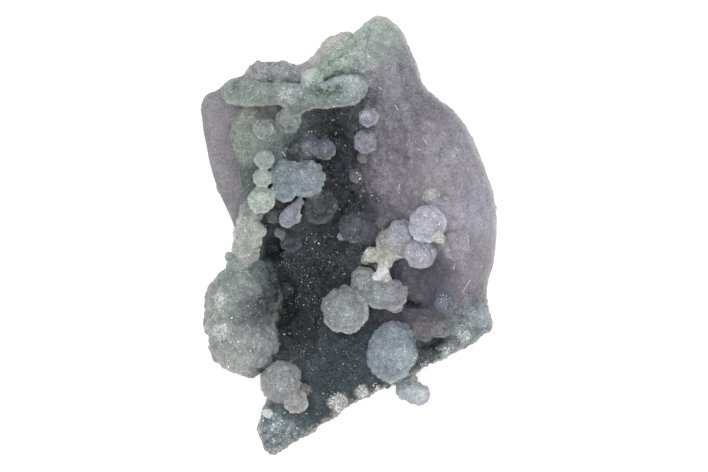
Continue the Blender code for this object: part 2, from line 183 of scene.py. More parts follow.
# Beads on the plate's front: x, y, radius, how high the centre stands above the plate, colour.
BEADS = [
    (-16.7, 15.0, 1.9, 1.5, "pale_green"), (-17.1, 11.4, 1.8, 1.7, "cream_green"),
    (-17.3, 7.0, 2.6, 3.0, "cream_green"), (-12.5, 11.9, 3.0, 1.8, "bead_blue"),
    (-12.8, 9.1, 2.4, 2.2, "bead_blue"), (-8.4, 11.2, 3.5, 2.6, "bead_blue"),
    (-4.7, 17.2, 2.1, 1.9, "dark_lilac"), (-8.3, 17.4, 2.5, -0.3, "dark_lilac"),
    (-10.9, 17.0, 1.7, 0.0, "bead_slate"), (-5.9, 5.9, 3.4, 1.0, "bead_slate"),
    (-13.9, 0.6, 1.0, 1.8, "brown_grey"), (-13.2, -0.3, 0.8, 1.4, "brown_grey"),
    (-11.7, -1.2, 1.9, 0.2, "bead_slate"),
    (-16.9, 21.0, 1.9, 1.5, "green_grey"), (-11.9, 22.9, 2.4, 1.0, "green_grey"),
    (3.9, 23.4, 1.8, 1.2, "lilac_grey"), (3.3, 18.6, 2.15, 0.9, "lilac_grey"),
    (2.9, 15.6, 1.0, 0.2, "flank_shade"), (1.2, 11.9, 1.2, 0.4, "flank_shade"),
    (5.5, 10.2, 1.6, -0.2, "flank_shade"), (19.9, 15.4, 2.2, -0.3, "flank_mauve"),
    (16.1, 7.8, 1.5, 0.7, "cream_grey"), (18.7, 6.4, 1.3, 0.2, "lilac_grey"),
    (17.1, 6.3, 1.1, 0.5, "lilac_grey"), (15.4, 2.2, 3.5, 2.0, "pale_lilac"),
    # The cream white bead at 17.6, -0.3 is partly a painted highlight low on the large pale lilac
    # bead.
    (17.6, -0.3, 1.2, 2.2, "cream_white"), (14.1, -3.6, 2.9, 1.3, "pale_lilac"),
    (20.9, -1.8, 2.7, 0.1, "flank_mauve"), (10.3, 0.2, 2.7, 1.5, "pale_lilac"),
    (8.0, -1.4, 2.4, 1.5, "cream_grey"), (10.4, -2.6, 2.0, 1.5, "cream_grey"),
    (8.4, -3.4, 1.9, 1.8, "cream_white"), (6.2, -3.8, 1.5, 1.8, "cream_white"),
    (4.7, -3.9, 1.5, 1.7, "cream_white"), (3.5, -4.8, 1.0, 1.4, "cream_grey"),
    (7.3, -5.2, 1.5, 2.6, "cream_white"), (6.9, -6.8, 1.1, 3.0, "milky"),
    (5.8, -8.2, 0.9, 3.4, "milky"), (7.7, -8.4, 0.8, 3.4, "cream_white"),
    (1.4, 1.7, 3.1, 0.8, "bead_slate"), (-1.4, -0.3, 0.8, 0.9, "lilac_grey"),
    (4.8, 0.6, 2.2, 0.3, "smoke"), (7.3, 2.8, 1.7, -0.1, "flank_shade"),
    (-0.7, -15.0, 4.5, 4.0, "bead_grey"), (3.1, -9.2, 2.7, 2.4, "green_grey"),
    (5.9, -11.6, 3.0, 2.4, "bead_grey"), (8.5, -11.8, 3.0, 2.2, "bead_grey"),
    (9.5, -14.2, 1.3, 1.4, "cream_grey"), (19.1, -13.2, 2.1, 0.3, "dark_lilac"),
    (15.1, -18.8, 2.3, 0.0, "brown_grey"), (18.0, -18.5, 2.0, 0.4, "brown_grey"),
    (26.0, -16.4, 1.9, -0.8, "tip_grey"), (24.0, -19.4, 2.0, -0.6, "tip_grey"),
    (-2.1, -33.4, 1.6, -0.4, "cream_grey"),
    (2.7, -31.2, 1.1, -0.3, "cream_grey"), (-16.3, -35.6, 0.9, 0.5, "milky"),
    (-9.0, -31.0, 1.1, 0.3, "brown_grey"), (-14.9, 3.9, 1.5, 0.3, "terrace_shade"),
    (-10.4, 25.8, 2.1, 2.4, "teal_grey"),
]

# Lobes whose height doesn't come from the plate: x, y, z, radius, colour.
FREE_LOBES = [
    (-21.7, -13.4, 7.6, 7.0, "big_lobe"), (-21.2, -20.9, 7.3, 6.7, "crest_grey"),
    (-23.3, -17.2, 7.2, 5.7, "big_lobe"), (-19.9, -26.0, 6.6, 2.6, "bead_grey"),
    (-22.2, -7.0, 9.2, 2.3, "pale_green"), (-18.2, -7.6, 8.6, 2.5, "teal_grey"),
    (-25.0, -11.2, 8.8, 2.7, "pale_green"), (-17.0, -22.2, 8.0, 2.4, "green_grey"),
    (-17.4, -19.8, 8.4, 2.0, "cream_green"),
    (-13.7, -29.4, 8.2, 3.9, "crest_grey"), (-10.5, -33.3, 10.2, 2.3, "cream_grey"),
    (-19.6, 4.6, 8.8, 2.4, "pale_green"), (-20.4, 2.6, 9.6, 2.0, "warm_grey"),
    (-18.9, 1.4, 9.6, 1.6, "warm_grey"), (-17.6, 0.9, 9.4, 1.2, "cream_green"),
    (-20.9, 0.2, 9.8, 2.1, "warm_grey"), (-19.0, -1.2, 9.4, 1.5, "warm_grey"),
    (-21.4, -2.4, 9.2, 1.9, "warm_grey"), (-19.6, -3.7, 9.2, 1.7, "cream_grey"),
    (-20.9, -5.0, 9.0, 1.8, "warm_grey"), (-20.2, -1.0, 6.8, 2.6, "warm_grey"),
    (-23.7, -4.4, 8.4, 1.1, "pale_green"), (12.0, -29.2, 4.4, 1.8, "warm_grey"),
    (-22.2, 22.4, 9.2, 1.3, "terrace_green"), (-22.5, 20.0, 9.2, 1.4, "terrace_green"),
    (-21.8, 17.5, 9.2, 1.3, "terrace_green"), (-21.0, 15.4, 9.0, 1.3, "terrace_green"),
    (-20.6, 12.2, 9.0, 1.2, "terrace_shade"), (-20.4, 9.4, 8.8, 1.2, "terrace_shade"),
    (-10.9, 3.6, 11.0, 1.4, "lilac_grey"),
    (11.8, -31.1, 5.0, 2.2, "pale_blue"), (13.2, -31.7, 4.9, 2.3, "pale_blue"),
    (14.3, -32.1, 4.7, 2.1, "pale_lilac"),
    (-17.8, 32.0, 9.2, 2.7, "crest_grey"), (-13.4, 32.0, 9.8, 2.7, "crest_grey"),
    (-9.6, 31.4, 9.6, 2.6, "crest_grey"), (-2.6, 36.8, 11.0, 2.8, "warm_grey"),
    (-0.8, 38.3, 11.0, 2.3, "warm_grey"), (-4.8, 35.2, 10.4, 2.2, "warm_grey"),
    (-6.4, 34.0, 10.2, 1.9, "warm_grey"), (-8.2, 33.0, 10.0, 1.7, "crest_grey"),
]

# The oval bead near the broken edge: centre, half-axes, and its turn about Z in degrees.
OVAL_CENTRE = (8.7, -23.2, 10.8)
OVAL_AXES = (4.7, 5.9, 4.7)
OVAL_TURN = -12.0
OVAL_TINT = "bead_blue"

# Fingers, as x, y, z and radius along each, with their colour: the long level one and its
# upper strand, the slanting one behind it, a short one in the bowl and the terrace's wall.
FINGERS = [
    ([(-23.1, 28.6, 9.2, 2.2), (-20.4, 28.4, 11.2, 2.4), (-17.4, 27.9, 12.8, 2.0),
      (-14.0, 28.2, 13.6, 2.2), (-10.8, 27.4, 14.0, 2.5), (-7.4, 26.8, 14.0, 1.8),
      (-3.6, 26.8, 14.8, 1.6), (0.0, 27.5, 15.4, 1.7), (2.0, 28.9, 15.4, 1.8)], "finger_green"),
    ([(-8.6, 29.2, 13.6, 1.2), (-5.0, 29.3, 14.2, 1.0), (-1.9, 30.1, 15.6, 1.3),
      (0.6, 30.3, 15.9, 1.4), (2.4, 29.7, 15.4, 1.2)], "finger_blue"),
    ([(-6.0, 28.3, 13.6, 1.2), (-3.0, 28.8, 14.0, 1.2), (0.2, 29.0, 14.6, 1.2)], "finger_green"),
    ([(-7.6, 30.8, 13.0, 1.9), (-4.4, 32.8, 12.8, 1.9), (-1.4, 35.0, 12.8, 2.0),
      (1.8, 37.2, 12.4, 2.2), (4.6, 39.6, 12.0, 2.4)], "ridge_green"),
    ([(-9.6, 6.8, 11.2, 0.8), (-10.8, 5.1, 11.5, 1.2), (-12.1, 3.3, 11.2, 1.8)], "lilac_grey"),
    ([(-19.4, 24.6, 9.6, 1.7), (-20.8, 22.4, 10.0, 2.0), (-21.2, 19.6, 10.0, 2.1),
      (-20.6, 16.8, 9.6, 1.8), (-19.6, 14.6, 9.4, 1.7)], "terrace_green"),
    ([(-19.6, 13.2, 9.3, 1.8), (-19.5, 10.8, 9.2, 1.8), (-19.0, 8.4, 9.2, 1.7)], "terrace_shade"),
]
FINGER_LUMPS = 0.22     # how much a finger's radius varies along it

# The plate's own colours by place: x, y, reach, colour, and how coarse the crystals are there.
GROUND = [
    (-3.0, 14.0, 8.0, "bowl_black", 1.0), (-9.0, -9.0, 8.0, "bowl_slate", 1.0),
    (-10.5, -18.5, 6.0, "bowl_black", 0.8), (0.0, 4.0, 7.0, "bowl_slate", 0.9),
    (-2.0, 22.0, 6.0, "bowl_slate", 0.9), (0.0, -24.0, 9.0, "plain_slate", 0.7),
    (-8.0, -32.0, 7.0, "plain_slate", 0.6), (-15.0, -40.0, 5.0, "tip_grey", 1.4),
    (17.0, -8.0, 7.0, "smoke", 0.3), (12.0, -17.0, 6.0, "smoke", 0.3),
    (9.0, 12.0, 6.0, "flank_shade", 0.5), (8.0, 24.0, 7.0, "flank_shade", 0.6),
    (18.0, 10.0, 7.0, "flank_rose", 0.2), (22.0, 16.0, 6.0, "flank_mauve", 0.3),
    (28.0, 4.0, 8.0, "rim_lilac", 0.3), (24.0, -5.0, 7.0, "flank_rose", 0.2),
    (7.0, 39.0, 5.0, "top_green", 0.3), (10.0, 32.0, 6.0, "top_grey", 0.5),
    (1.0, 38.0, 3.0, "top_green", 0.5), (1.2, 31.6, 2.2, "brown_grey", 0.9),
    (-0.2, 34.2, 2.2, "ridge_green", 0.9),
    (-19.0, 20.0, 7.0, "terrace_green", 0.3), (-18.0, 11.0, 6.0, "terrace_shade", 0.3),
    (-12.0, 21.6, 3.6, "terrace_shade", 0.6), (26.0, -17.4, 5.0, "tip_grey", 1.2),
    (-9.0, 18.0, 4.5, "bowl_slate", 0.9), (-14.0, 17.0, 3.0, "terrace_shade", 0.7),
    (17.5, -22.2, 3.0, "plain_slate", 0.7), (5.0, 26.6, 2.4, "smoke", 0.7),
]
TINT_SHARPNESS = 1.6    # how sharply one place's colour gives way to the next

# Painted shade in the plate's hollows between the beads and along the crack: x, y, reach and amount.
SHADED_HOLLOWS = [
    (-15.8, -1.6, 3.2, 0.45), (-15.0, -4.4, 2.0, 0.55), (-11.8, -17.8, 4.0, 1.0),
    (-8.9, -29.8, 1.6, 0.8), (11.8, -13.7, 0.4, 1.0), (12.6, -13.8, 0.4, 1.0),
    (13.4, -13.9, 0.4, 1.0), (14.2, -14.0, 0.4, 0.8), (-3.0, 12.0, 3.5, 0.3),
    (-6.0, 1.6, 2.2, 0.4), (-3.6, -2.0, 3.0, 0.4),
]

# Patches of another colour over whatever grows there, some of them painted shade and some painted
# rim light: x, y, reach, amount, colour.
PATCHES = [
    # The largest lobe's darker right half is partly the bowl's colour reaching in and partly painted
    # shade.
    (-18.9, -15.0, 4.2, 0.65, "smoke"), (-15.8, -14.0, 3.2, 0.65, "bowl_slate"),
    (-14.6, -8.0, 2.4, 0.8, "bowl_slate"), (-15.0, -10.0, 2.6, 0.6, "bowl_slate"),
    (0.6, 29.6, 3.2, 0.7, "finger_blue"), (-11.6, 28.0, 2.6, 0.7, "finger_blue"),
    (-7.8, 31.4, 1.6, 0.8, "cream_green"), (-17.4, -7.6, 2.6, 0.7, "terrace_shade"),
    (-27.0, -16.0, 3.0, 0.5, "cream_grey"), (-22.6, -26.0, 4.0, 0.4, "cream_white"),
    (-13.0, 11.4, 2.2, 0.5, "teal_grey"), (6.0, -12.6, 1.6, 0.5, "pale_green"),
    (-0.4, -16.2, 2.0, 0.6, "pale_green"), (1.4, 1.7, 2.8, 0.15, "bead_blue"),
    (11.0, -24.4, 2.2, 0.4, "pale_blue"), (6.8, -24.2, 2.6, 0.2, "pale_lilac"),
    (7.6, -11.4, 2.2, 0.3, "bead_blue"), (14.4, -32.3, 1.6, 0.4, "milky"),
    (27.0, -16.6, 2.8, 0.25, "pale_blue"), (-24.6, 8.0, 5.0, 0.3, "flank_shade"),
    # Painted rim light: the pale patch at 29.0, -9.0 on the right edge.
    (29.0, -9.0, 2.0, 0.6, "cream_grey"), (-24.0, -8.6, 2.4, 0.4, "teal_grey"),
    # Painted shadow: the terrace's wall darkens the leaf beside it.
    (-24.4, 20.0, 2.6, 0.2, "flank_shade"), (-24.0, 14.0, 2.8, 0.2, "flank_shade"),
    (9.6, 10.6, 4.2, 0.3, "flank_rose"), (-3.7, -29.0, 3.4, 0.4, "bowl_slate"),
    (15.0, -18.6, 2.0, 0.3, "smoke"),
    (-15.6, 25.0, 2.6, 0.4, "brown_grey"), (-2.5, 13.5, 4.5, 0.1, "dark_lilac"),
    # Painted rim light: the cream at the lower right edge of the double bead.
    (-7.1, 8.0, 1.2, 0.4, "cream_grey"),
]

# Dark green mottles: x, y, reach and amount.
MOSSY = [
    (-6.6, 28.5, 1.4, 1.0), (-4.2, 28.4, 1.5, 1.0), (-1.8, 28.9, 1.2, 0.9), (-5.6, 32.4, 1.1, 0.7),
    (-3.4, 34.2, 1.1, 0.7), (-1.2, 35.8, 1.1, 0.7), (1.2, 37.3, 1.1, 0.6), (3.6, 40.2, 1.5, 0.4),
    (-22.4, 29.2, 1.6, 0.6), (-9.0, 26.0, 1.6, 0.6), (-19.6, 11.0, 2.4, 0.25),
    (-17.2, 20.4, 2.0, 0.4), (-11.8, 20.4, 2.0, 0.6), (5.4, 37.0, 2.6, 0.4),
]

# Where the crystals are white and clear, in the same terms; some of these places are painted
# highlights and glints.
FROST_AND_HIGHLIGHTS = [
    (12.2, -31.0, 1.8, 0.5), (1.2, 29.6, 2.2, 0.4), (-7.8, 12.0, 2.4, 0.35),
    (-0.6, -16.0, 1.6, 0.4), (-12.6, 27.8, 2.0, 0.7), (-8.2, 31.8, 1.4, 0.6),
    # Painted highlights: the white on the largest lobe's left side, at -25.3, -12.6 and -25.7,
    # -19.6, and on the dark bead at 18.8, -13.2.
    (-25.3, -12.6, 1.8, 1.0), (-25.7, -19.6, 2.2, 1.0), (18.8, -13.2, 1.3, 0.4),
    # Painted highlights also low on the large pale lilac bead, at 17.4, -0.4 and 15.6, 0.6.
    (22.9, -19.8, 1.6, 0.9), (17.4, -0.4, 1.8, 0.6), (15.6, 0.6, 2.2, 0.35),
    (-17.0, 6.8, 2.0, 0.7), (20.0, -22.8, 2.0, 0.7), (27.4, -16.0, 2.0, 0.5),
    (10.4, -24.4, 2.4, 0.25), (-14.0, -30.2, 1.6, 0.4), (7.0, -7.0, 2.0, 0.8),
    (4.2, -4.4, 1.4, 0.7), (3.9, 24.0, 1.4, 0.4), (-8.4, 17.4, 2.4, 0.4), (-4.4, 18.0, 1.2, 0.25),
    (3.6, 24.0, 1.4, 0.6), (-11.8, 3.6, 1.6, 0.3), (-21.0, 0.0, 1.8, 0.3),
    (18.0, -18.4, 1.6, 0.3), (-2.1, -33.4, 1.7, 0.8), (2.7, -31.2, 1.1, 0.7),
    (7.6, 30.6, 4.0, 0.12), (-6.6, -2.4, 3.4, 0.08), (-8.6, -10.0, 4.0, 0.12),
    (-3.0, 19.0, 3.0, 0.10), (-15.0, -39.0, 4.0, 0.08), (-21.0, -22.0, 6.0, 0.06),
    (-7.2, 8.4, 2.0, 0.2), (16.2, 8.2, 1.4, 0.5), (-9.0, 26.4, 2.0, 0.2), (0.4, 0.0, 1.4, 0.3),
    (6.2, -12.0, 2.0, 0.2), (-6.0, -33.6, 1.6, 0.25),
]

# Sprays of larger quartz prisms: x, y, reach, number of prisms and their length.
SPRAYS = [
    (-2.1, -33.4, 1.8, 100, 0.85), (2.7, -31.2, 1.1, 40, 0.85), (5.6, -30.1, 0.7, 16, 0.8),
    (8.5, -29.8, 0.7, 12, 0.7), (-16.3, -35.6, 0.7, 20, 0.8), (22.9, -19.8, 1.2, 56, 0.8),
    (19.6, -22.6, 0.9, 18, 0.8), (15.0, -25.4, 0.8, 12, 0.7), (4.3, -3.8, 1.4, 30, 0.6),
    (7.1, -6.6, 1.1, 26, 0.6), (17.6, -0.3, 1.1, 26, 0.6), (19.0, -13.0, 1.5, 18, 0.45),
    (9.0, -1.6, 1.6, 14, 0.5), (-25.2, -12.6, 1.2, 18, 0.5), (-25.6, -19.6, 1.6, 30, 0.5),
    (-12.4, 28.2, 1.3, 26, 0.5), (16.4, 0.4, 1.4, 18, 0.4), (-13.8, -30.4, 0.8, 10, 0.45),
    (6.4, -11.6, 1.0, 8, 0.4), (-17.0, 6.6, 1.0, 12, 0.4),
]

# Single quartz blades that lie on the stone: x, y, heading in degrees, length and width.
BLADES = [
    (22.5, -11.4, 60.0, 2.4, 0.17), (23.3, -9.8, 48.0, 1.4, 0.14), (20.7, -6.8, 80.0, 1.0, 0.26),
    (9.9, 9.2, 75.0, 1.2, 0.22), (22.3, 9.4, 65.0, 1.2, 0.2), (14.9, 18.9, -55.0, 1.5, 0.18),
    (9.2, 25.8, -50.0, 1.4, 0.18), (-13.2, 16.6, -55.0, 1.4, 0.2), (18.4, 20.4, -40.0, 1.2, 0.16),
    (6.0, 29.4, -48.0, 1.3, 0.18), (-15.8, 18.6, 60.0, 1.1, 0.2), (12.4, 14.2, 70.0, 1.0, 0.18),
]


def srgb(code):
    """A hex colour such as #7f8581 as linear red, green and blue."""
    values = [int(code[i:i + 2], 16) / 255.0 for i in (1, 3, 5)]
    return tuple(v / 12.92 if v <= 0.04045 else ((v + 0.055) / 1.055) ** 2.4 for v in values)


def colour(name, description, code):
    """A colour setting with a hex default."""
    return FloatVectorProperty(name=name, description=description, subtype='COLOR', size=3,
                               min=0.0, max=1.0, default=srgb(code))


class StoneSettings(bpy.types.PropertyGroup):
    """Sizes of the stone's skin."""
    grain: FloatProperty(name="Skin grain", description="Size of the cells of the stone's skin",
                         default=0.30 * MM, unit='LENGTH', precision=5)
    triangles: IntProperty(name="Triangles", description="Most triangles in the stone's skin",
                           default=192000)
    cobble: FloatProperty(name="Cobble spacing",
                          description="Spacing of the small round bumps on the skin",
                          default=1.7 * MM, unit='LENGTH', precision=5)
    cobble_height: FloatProperty(name="Cobble height", description="Height of those bumps",
                                 default=0.42 * MM, unit='LENGTH', precision=5)
    small_beads: IntProperty(name="Small beads", description="Number of half-sunk small beads",
                             default=190)
    lumps: IntProperty(name="Lumps", description="Number of lumps that make up a large bead",
                       default=24)
    seed: IntProperty(name="Seed", description="Start of the random draws", default=11)


class DruseSettings(bpy.types.PropertyGroup):
    """Sizes of the quartz crystals that coat the skin."""
    crystals: IntProperty(name="Crystals", description="Number of crystals in the crust",
                          default=95000)
    width: FloatProperty(name="Crystal width", description="Usual width of one crystal",
                         default=0.25 * MM, unit='LENGTH', precision=5)
    tilt: FloatProperty(name="Tilt", description="How far crystals lean from the skin's normal",
                        default=math.radians(24.0), subtype='ANGLE')
    seed: IntProperty(name="Seed", description="Start of the random draws", default=23)


class ColourSettings(bpy.types.PropertyGroup):
    """The stone's colours."""
    # Painted shade: the near black put in the deep hollows and the crack.
    hollow_shade: colour("Hollow", "Nearly black depth of the hollows", "#0e1a18")
    bowl_black: colour("Bowl, darkest", "Darkest part of the bowl", "#1e1e22")
    bowl_slate: colour("Bowl", "Dark slate of the bowl", "#1a2125")
    plain_slate: colour("Lower plain", "Blue slate below the bowl", "#333c40")
    tip_grey: colour("Tip", "Blue-green grey of the bottom tip", "#798486")
    smoke: colour("Smoke", "Smoky purple of the lower flank", "#4a4852")
    flank_shade: colour("Flank shade", "Grey between bowl and flank", "#706e75")
    flank_rose: colour("Flank rose", "Faint rose of the flank's middle", "#8b838b")
    flank_mauve: colour("Flank mauve", "Mauve grey of the flank", "#918f98")
    rim_lilac: colour("Rim lilac", "Pale lilac of the right rim", "#9b9aa6")
    top_green: colour("Top green", "Green grey of the rounded top", "#9ba39f")
    top_grey: colour("Top grey", "Grey below the rounded top", "#807f87")
    ridge_green: colour("Ridge green", "Deeper green of the slanting ridge", "#a0b3a8")
    terrace_green: colour("Terrace green", "Green grey of the upper left", "#858b86")
    terrace_shade: colour("Terrace shade", "Dark green of the terrace's foot", "#565f5f")
    leaf_grey: colour("Leaf grey", "Mauve grey of the low leaf", "#848186")
    finger_green: colour("Finger green", "Pale green of the long finger", "#848f8b")
    finger_blue: colour("Finger blue", "Pale blue end of the long finger", "#99a3a6")
    crest_grey: colour("Crest grey", "Grey of the upper crest", "#9a9c9d")
    warm_grey: colour("Warm grey", "Warm pale grey of some lobes", "#b0b2ad")
    big_lobe: colour("Big lobe", "Grey green of the largest lobe", "#97a09c")
    pale_lilac: colour("Pale lilac", "Pale lilac beads", "#aeafbb")
    lilac_grey: colour("Lilac grey", "Blue lilac beads", "#8f929d")
    dark_lilac: colour("Dark lilac", "Dark lilac beads", "#646a76")
    bead_grey: colour("Grey bead", "Pale grey beads", "#919497")
    bead_blue: colour("Blue bead", "Blue-grey beads", "#8a969e")
    green_grey: colour("Green-grey bead", "Green-grey beads", "#8e9392")
    teal_grey: colour("Teal grey", "Dark teal beads", "#6f7a77")
    pale_blue: colour("Pale blue", "Pale blue beads", "#afbac0")
    moss: colour("Moss green", "Dark green specks of the fingers", "#476457")
    pale_green: colour("Pale green", "Pale green beads", "#97a29e")
    cream_green: colour("Cream green", "Cream green beads", "#a9b3ac")
    cream_grey: colour("Cream grey", "Cream grey beads", "#a0a09f")
    cream_white: colour("Cream white", "Cream white quartz", "#b4b5ab")
    brown_grey: colour("Brown grey", "Brownish grey beads", "#767476")
    bead_slate: colour("Slate bead", "Dark beads in the bowl", "#40464c")
    # Also the white of the painted highlights at the frosted places.
    milky: colour("Milky", "Milky quartz", "#e5e7e7")
    # Painted rim light: this cream lightens the foot of beads and the plate's thin rim, as though
    # lit through them.
    rim_light_cream: colour("Rim cream", "Cream of the thin crust low on beads", "#dbdcd3")
    broken: colour("Broken", "Waxy grey of the broken stone", "#a6a49e")
    sawn: colour("Sawn", "Grey of the sawn back", "#9c9b9c")


class StageSettings(bpy.types.PropertyGroup):
    """Camera and light."""
    lens: FloatProperty(name="Lens", description="Focal length of the camera, in millimetres",
                        default=135.0)
    pixel: FloatProperty(name="Pixel", description="Size of one pixel at the stone",
                         default=0.2 * MM, unit='LENGTH', precision=5)
    side_light: FloatProperty(name="Side light", description="Power of each side light, in watts",
                              default=0.31)
    key_light: FloatProperty(name="Key light", description="Power of each small light, in watts",
                             default=0.16)
    sky_light: FloatProperty(name="Sky light", description="Strength of the even light around",
                             default=0.31)


def settings(name):
    """One group of settings, kept on the scene."""
    return getattr(bpy.context.scene, "agate_" + name)


def smooth_path(points, closed, steps):
    """A smooth path through the points, as rows of an array, with steps rows between two of them."""
    rows = np.array(points)
    before = np.roll(rows, 1, axis=0)
    after = np.roll(rows, -1, axis=0)
    later = np.roll(rows, -2, axis=0)
    if not closed:
        before[0] = rows[0]
        after[-1] = rows[-1]
        later[-2:] = rows[-1]
    spans = len(rows) if closed else len(rows) - 1
    path = []
    for i in range(spans):
        for t in np.arange(steps) / steps:
            path.append(0.5 * (2 * rows[i] + (after[i] - before[i]) * t
                               + (2 * before[i] - 5 * rows[i] + 4 * after[i] - later[i]) * t ** 2
                               + (3 * rows[i] - before[i] - 3 * after[i] + later[i]) * t ** 3))
    if not closed:
        path.append(rows[-1])
    return np.array(path)


def noise_at(places, length, shift=0.0):
    """Smooth noise from -1 to 1 at each place, with bumps about length apart."""
    return np.array([noise.noise(Vector(p)) for p in (places / length + shift).tolist()])


def wander(places, length):
    """A smooth wandering step along X and Y at each place, from -1 to 1."""
    return np.stack([noise_at(places, length, 11.0), noise_at(places, length, 17.0)], axis=1)


def cells_at(places, length):
    """Distance to the nearest and the second nearest of scattered cell centres, in cell sizes."""
    found = [noise.voronoi(Vector(p))[0][:2] for p in (places / length).tolist()]
    return np.array(found).T


def swell(x, y, level):
    """Uneven swell of the stone, in millimetres; each level of the noise has its own."""
    places = np.stack([x, y, np.full(len(x), level)], axis=1)
    return SWELL_HEIGHT * noise_at(places, SWELL_LENGTH)


def front_height(x, y):
    """Height of the plate's front, before its rim curves over."""
    height = BOWL_FLOOR + swell(x, y, 0.0)
    for hill_x, hill_y, along, across, turn, lift in HILLS:
        angle = math.radians(turn)
        dx = x - hill_x
        dy = y - hill_y
        u = (dx * math.cos(angle) + dy * math.sin(angle)) / along
        v = (dy * math.cos(angle) - dx * math.sin(angle)) / across
        height += lift * np.exp(-u * u - v * v)
    return height


def height_at(x, y):
    """Height of the plate's front at one place."""
    return float(front_height(np.array([x]), np.array([y]))[0])


def leaf_height(x, y):
    """Height of the low leaf's front, before its rim curves over."""
    return LEAF_LEVEL + LEAF_SLOPE * (y - LEAF_MIDDLE) + swell(x, y, SWELL_LEAF)


def rough_back(x, y):
    """Height of the back before it is cut flat."""
    return -CUT_DEPTH + 2.0 * swell(x, y, SWELL_BACK)


def nearest_on_loop(x, y, loop):
    """Distances in from the loop's edge, negative outside it, and the loop's own rows there."""
    ends = np.roll(loop, -1, axis=0)
    step = ends - loop
    rise = np.where(step[:, 1] == 0.0, 1.0, step[:, 1])
    depth = np.empty(len(x))
    rows = np.empty((len(x), loop.shape[1]))
    for part in np.array_split(np.arange(len(x)), len(x) // 5000 + 1):
        px = x[part, None]
        py = y[part, None]
        along = (px - loop[:, 0]) * step[:, 0] + (py - loop[:, 1]) * step[:, 1]
        share = np.clip(along / (step[:, :2] ** 2).sum(axis=1), 0.0, 1.0)
        gap = np.hypot(loop[:, 0] + share * step[:, 0] - px, loop[:, 1] + share * step[:, 1] - py)
        nearest = gap.argmin(axis=1)
        own = np.arange(len(part))
        rows[part] = loop[nearest] + share[own, nearest, None] * step[nearest]
        spans = (loop[:, 1] > py) != (ends[:, 1] > py)
        crossings = spans & (px < loop[:, 0] + step[:, 0] * (py - loop[:, 1]) / rise)
        inside = crossings.sum(axis=1) % 2 == 1
        depth[part] = np.where(inside, gap[own, nearest], -gap[own, nearest])
    return depth, rows


def curve_over(share, power):
    """Profile from 0 at the rim to 1 where the surface is level; power 2 is a quarter round."""
    return (1.0 - (1.0 - np.clip(share, 0.0, 1.0)) ** power) ** (1.0 / power)


def curved_front(height, inward, rows):
    """Height of a plate's front, with its rim curved over."""
    rim = rows[:, 2] + RIM_WALL / 2.0
    return rim + (height - rim) * curve_over(inward / rows[:, 3], FRONT_POWER)


def curved_back(height, inward, rows):
    """Height of a plate's back, slanting up to its rim."""
    rim = rows[:, 2] - RIM_WALL / 2.0
    return rim + (height - rim) * curve_over(inward / (BACK_REACH * rows[:, 4]), BACK_POWER)


def add_plate(bm, edge, top, bottom, cell):
    """Adds a closed plate with the given edge, between the heights top(x, y) and bottom(x, y)."""
    loop = smooth_path(edge, True, EDGE_STEPS)
    low = loop.min(axis=0)[:2] - cell
    high = loop.max(axis=0)[:2] + cell
    middle = (low + high) / 2.0
    count = np.ceil((high - low) / cell).astype(int)
    reach = Matrix.Diagonal((*(count * cell / 2.0), 1.0, 1.0))
    place = Matrix.Translation((*middle, 0.0)) @ reach
    plate = bmesh.new()
    bmesh.ops.create_grid(plate, x_segments=int(count[0]), y_segments=int(count[1]), size=1.0,
                          matrix=place)
    flat = np.array([v.co[:2] for v in plate.verts])
    depth = nearest_on_loop(flat[:, 0], flat[:, 1], loop)[0]
    outside = [v for v, d in zip(plate.verts, depth) if d < -cell / 2.0]
    bmesh.ops.delete(plate, geom=outside, context='VERTS')
    edges = [v for v in plate.verts if v.is_boundary]
    flat = np.array([v.co[:2] for v in edges])
    for vert, row in zip(edges, nearest_on_loop(flat[:, 0], flat[:, 1], loop)[1]):
        vert.co.x = row[0]
        vert.co.y = row[1]
    raised = bmesh.ops.extrude_face_region(plate, geom=plate.faces[:])
    tops = {item for item in raised['geom'] if isinstance(item, bmesh.types.BMVert)}
    is_top = np.array([v in tops for v in plate.verts])
    x, y = np.array([v.co[:2] for v in plate.verts]).T
    inward, rows = nearest_on_loop(x, y, loop)
    front = curved_front(top(x, y), inward, rows)
    back = curved_back(bottom(x, y), inward, rows)
    for vert, z in zip(plate.verts, np.where(is_top, front, back)):
        vert.co.z = z
    bmesh.ops.recalc_face_normals(plate, faces=plate.faces[:])
    spare = bpy.data.meshes.new("plate")
    plate.to_mesh(spare)
    plate.free()
    bm.from_mesh(spare)
    bpy.data.meshes.remove(spare)


def small_beads(stone, rng):
    """Half-sunk small beads at random places on the plate's front, as rows of lobes."""
    loop = smooth_path(PLATE_EDGE, True, EDGE_STEPS)
    x = rng.uniform(*SMALL_BEAD_X, 4 * stone.small_beads)
    y = rng.uniform(*SMALL_BEAD_Y, 4 * stone.small_beads)
    inside = nearest_on_loop(x, y, loop)[0] > SMALL_BEAD_INSET
    x = x[inside][:stone.small_beads]
    y = y[inside][:stone.small_beads]
    radius = rng.uniform(0.5, 1.0, len(x)) ** 2 * SMALL_BEAD
    radius *= 0.3 + 0.7 * ground_colours(np.stack([x, y], axis=1))[:, 3]
    z = curved_front(front_height(x, y), *nearest_on_loop(x, y, loop))
    z -= radius * rng.uniform(0.35, 0.8, len(x))
    return np.stack([x, y, z, radius, radius, radius, np.zeros(len(x))], axis=1)


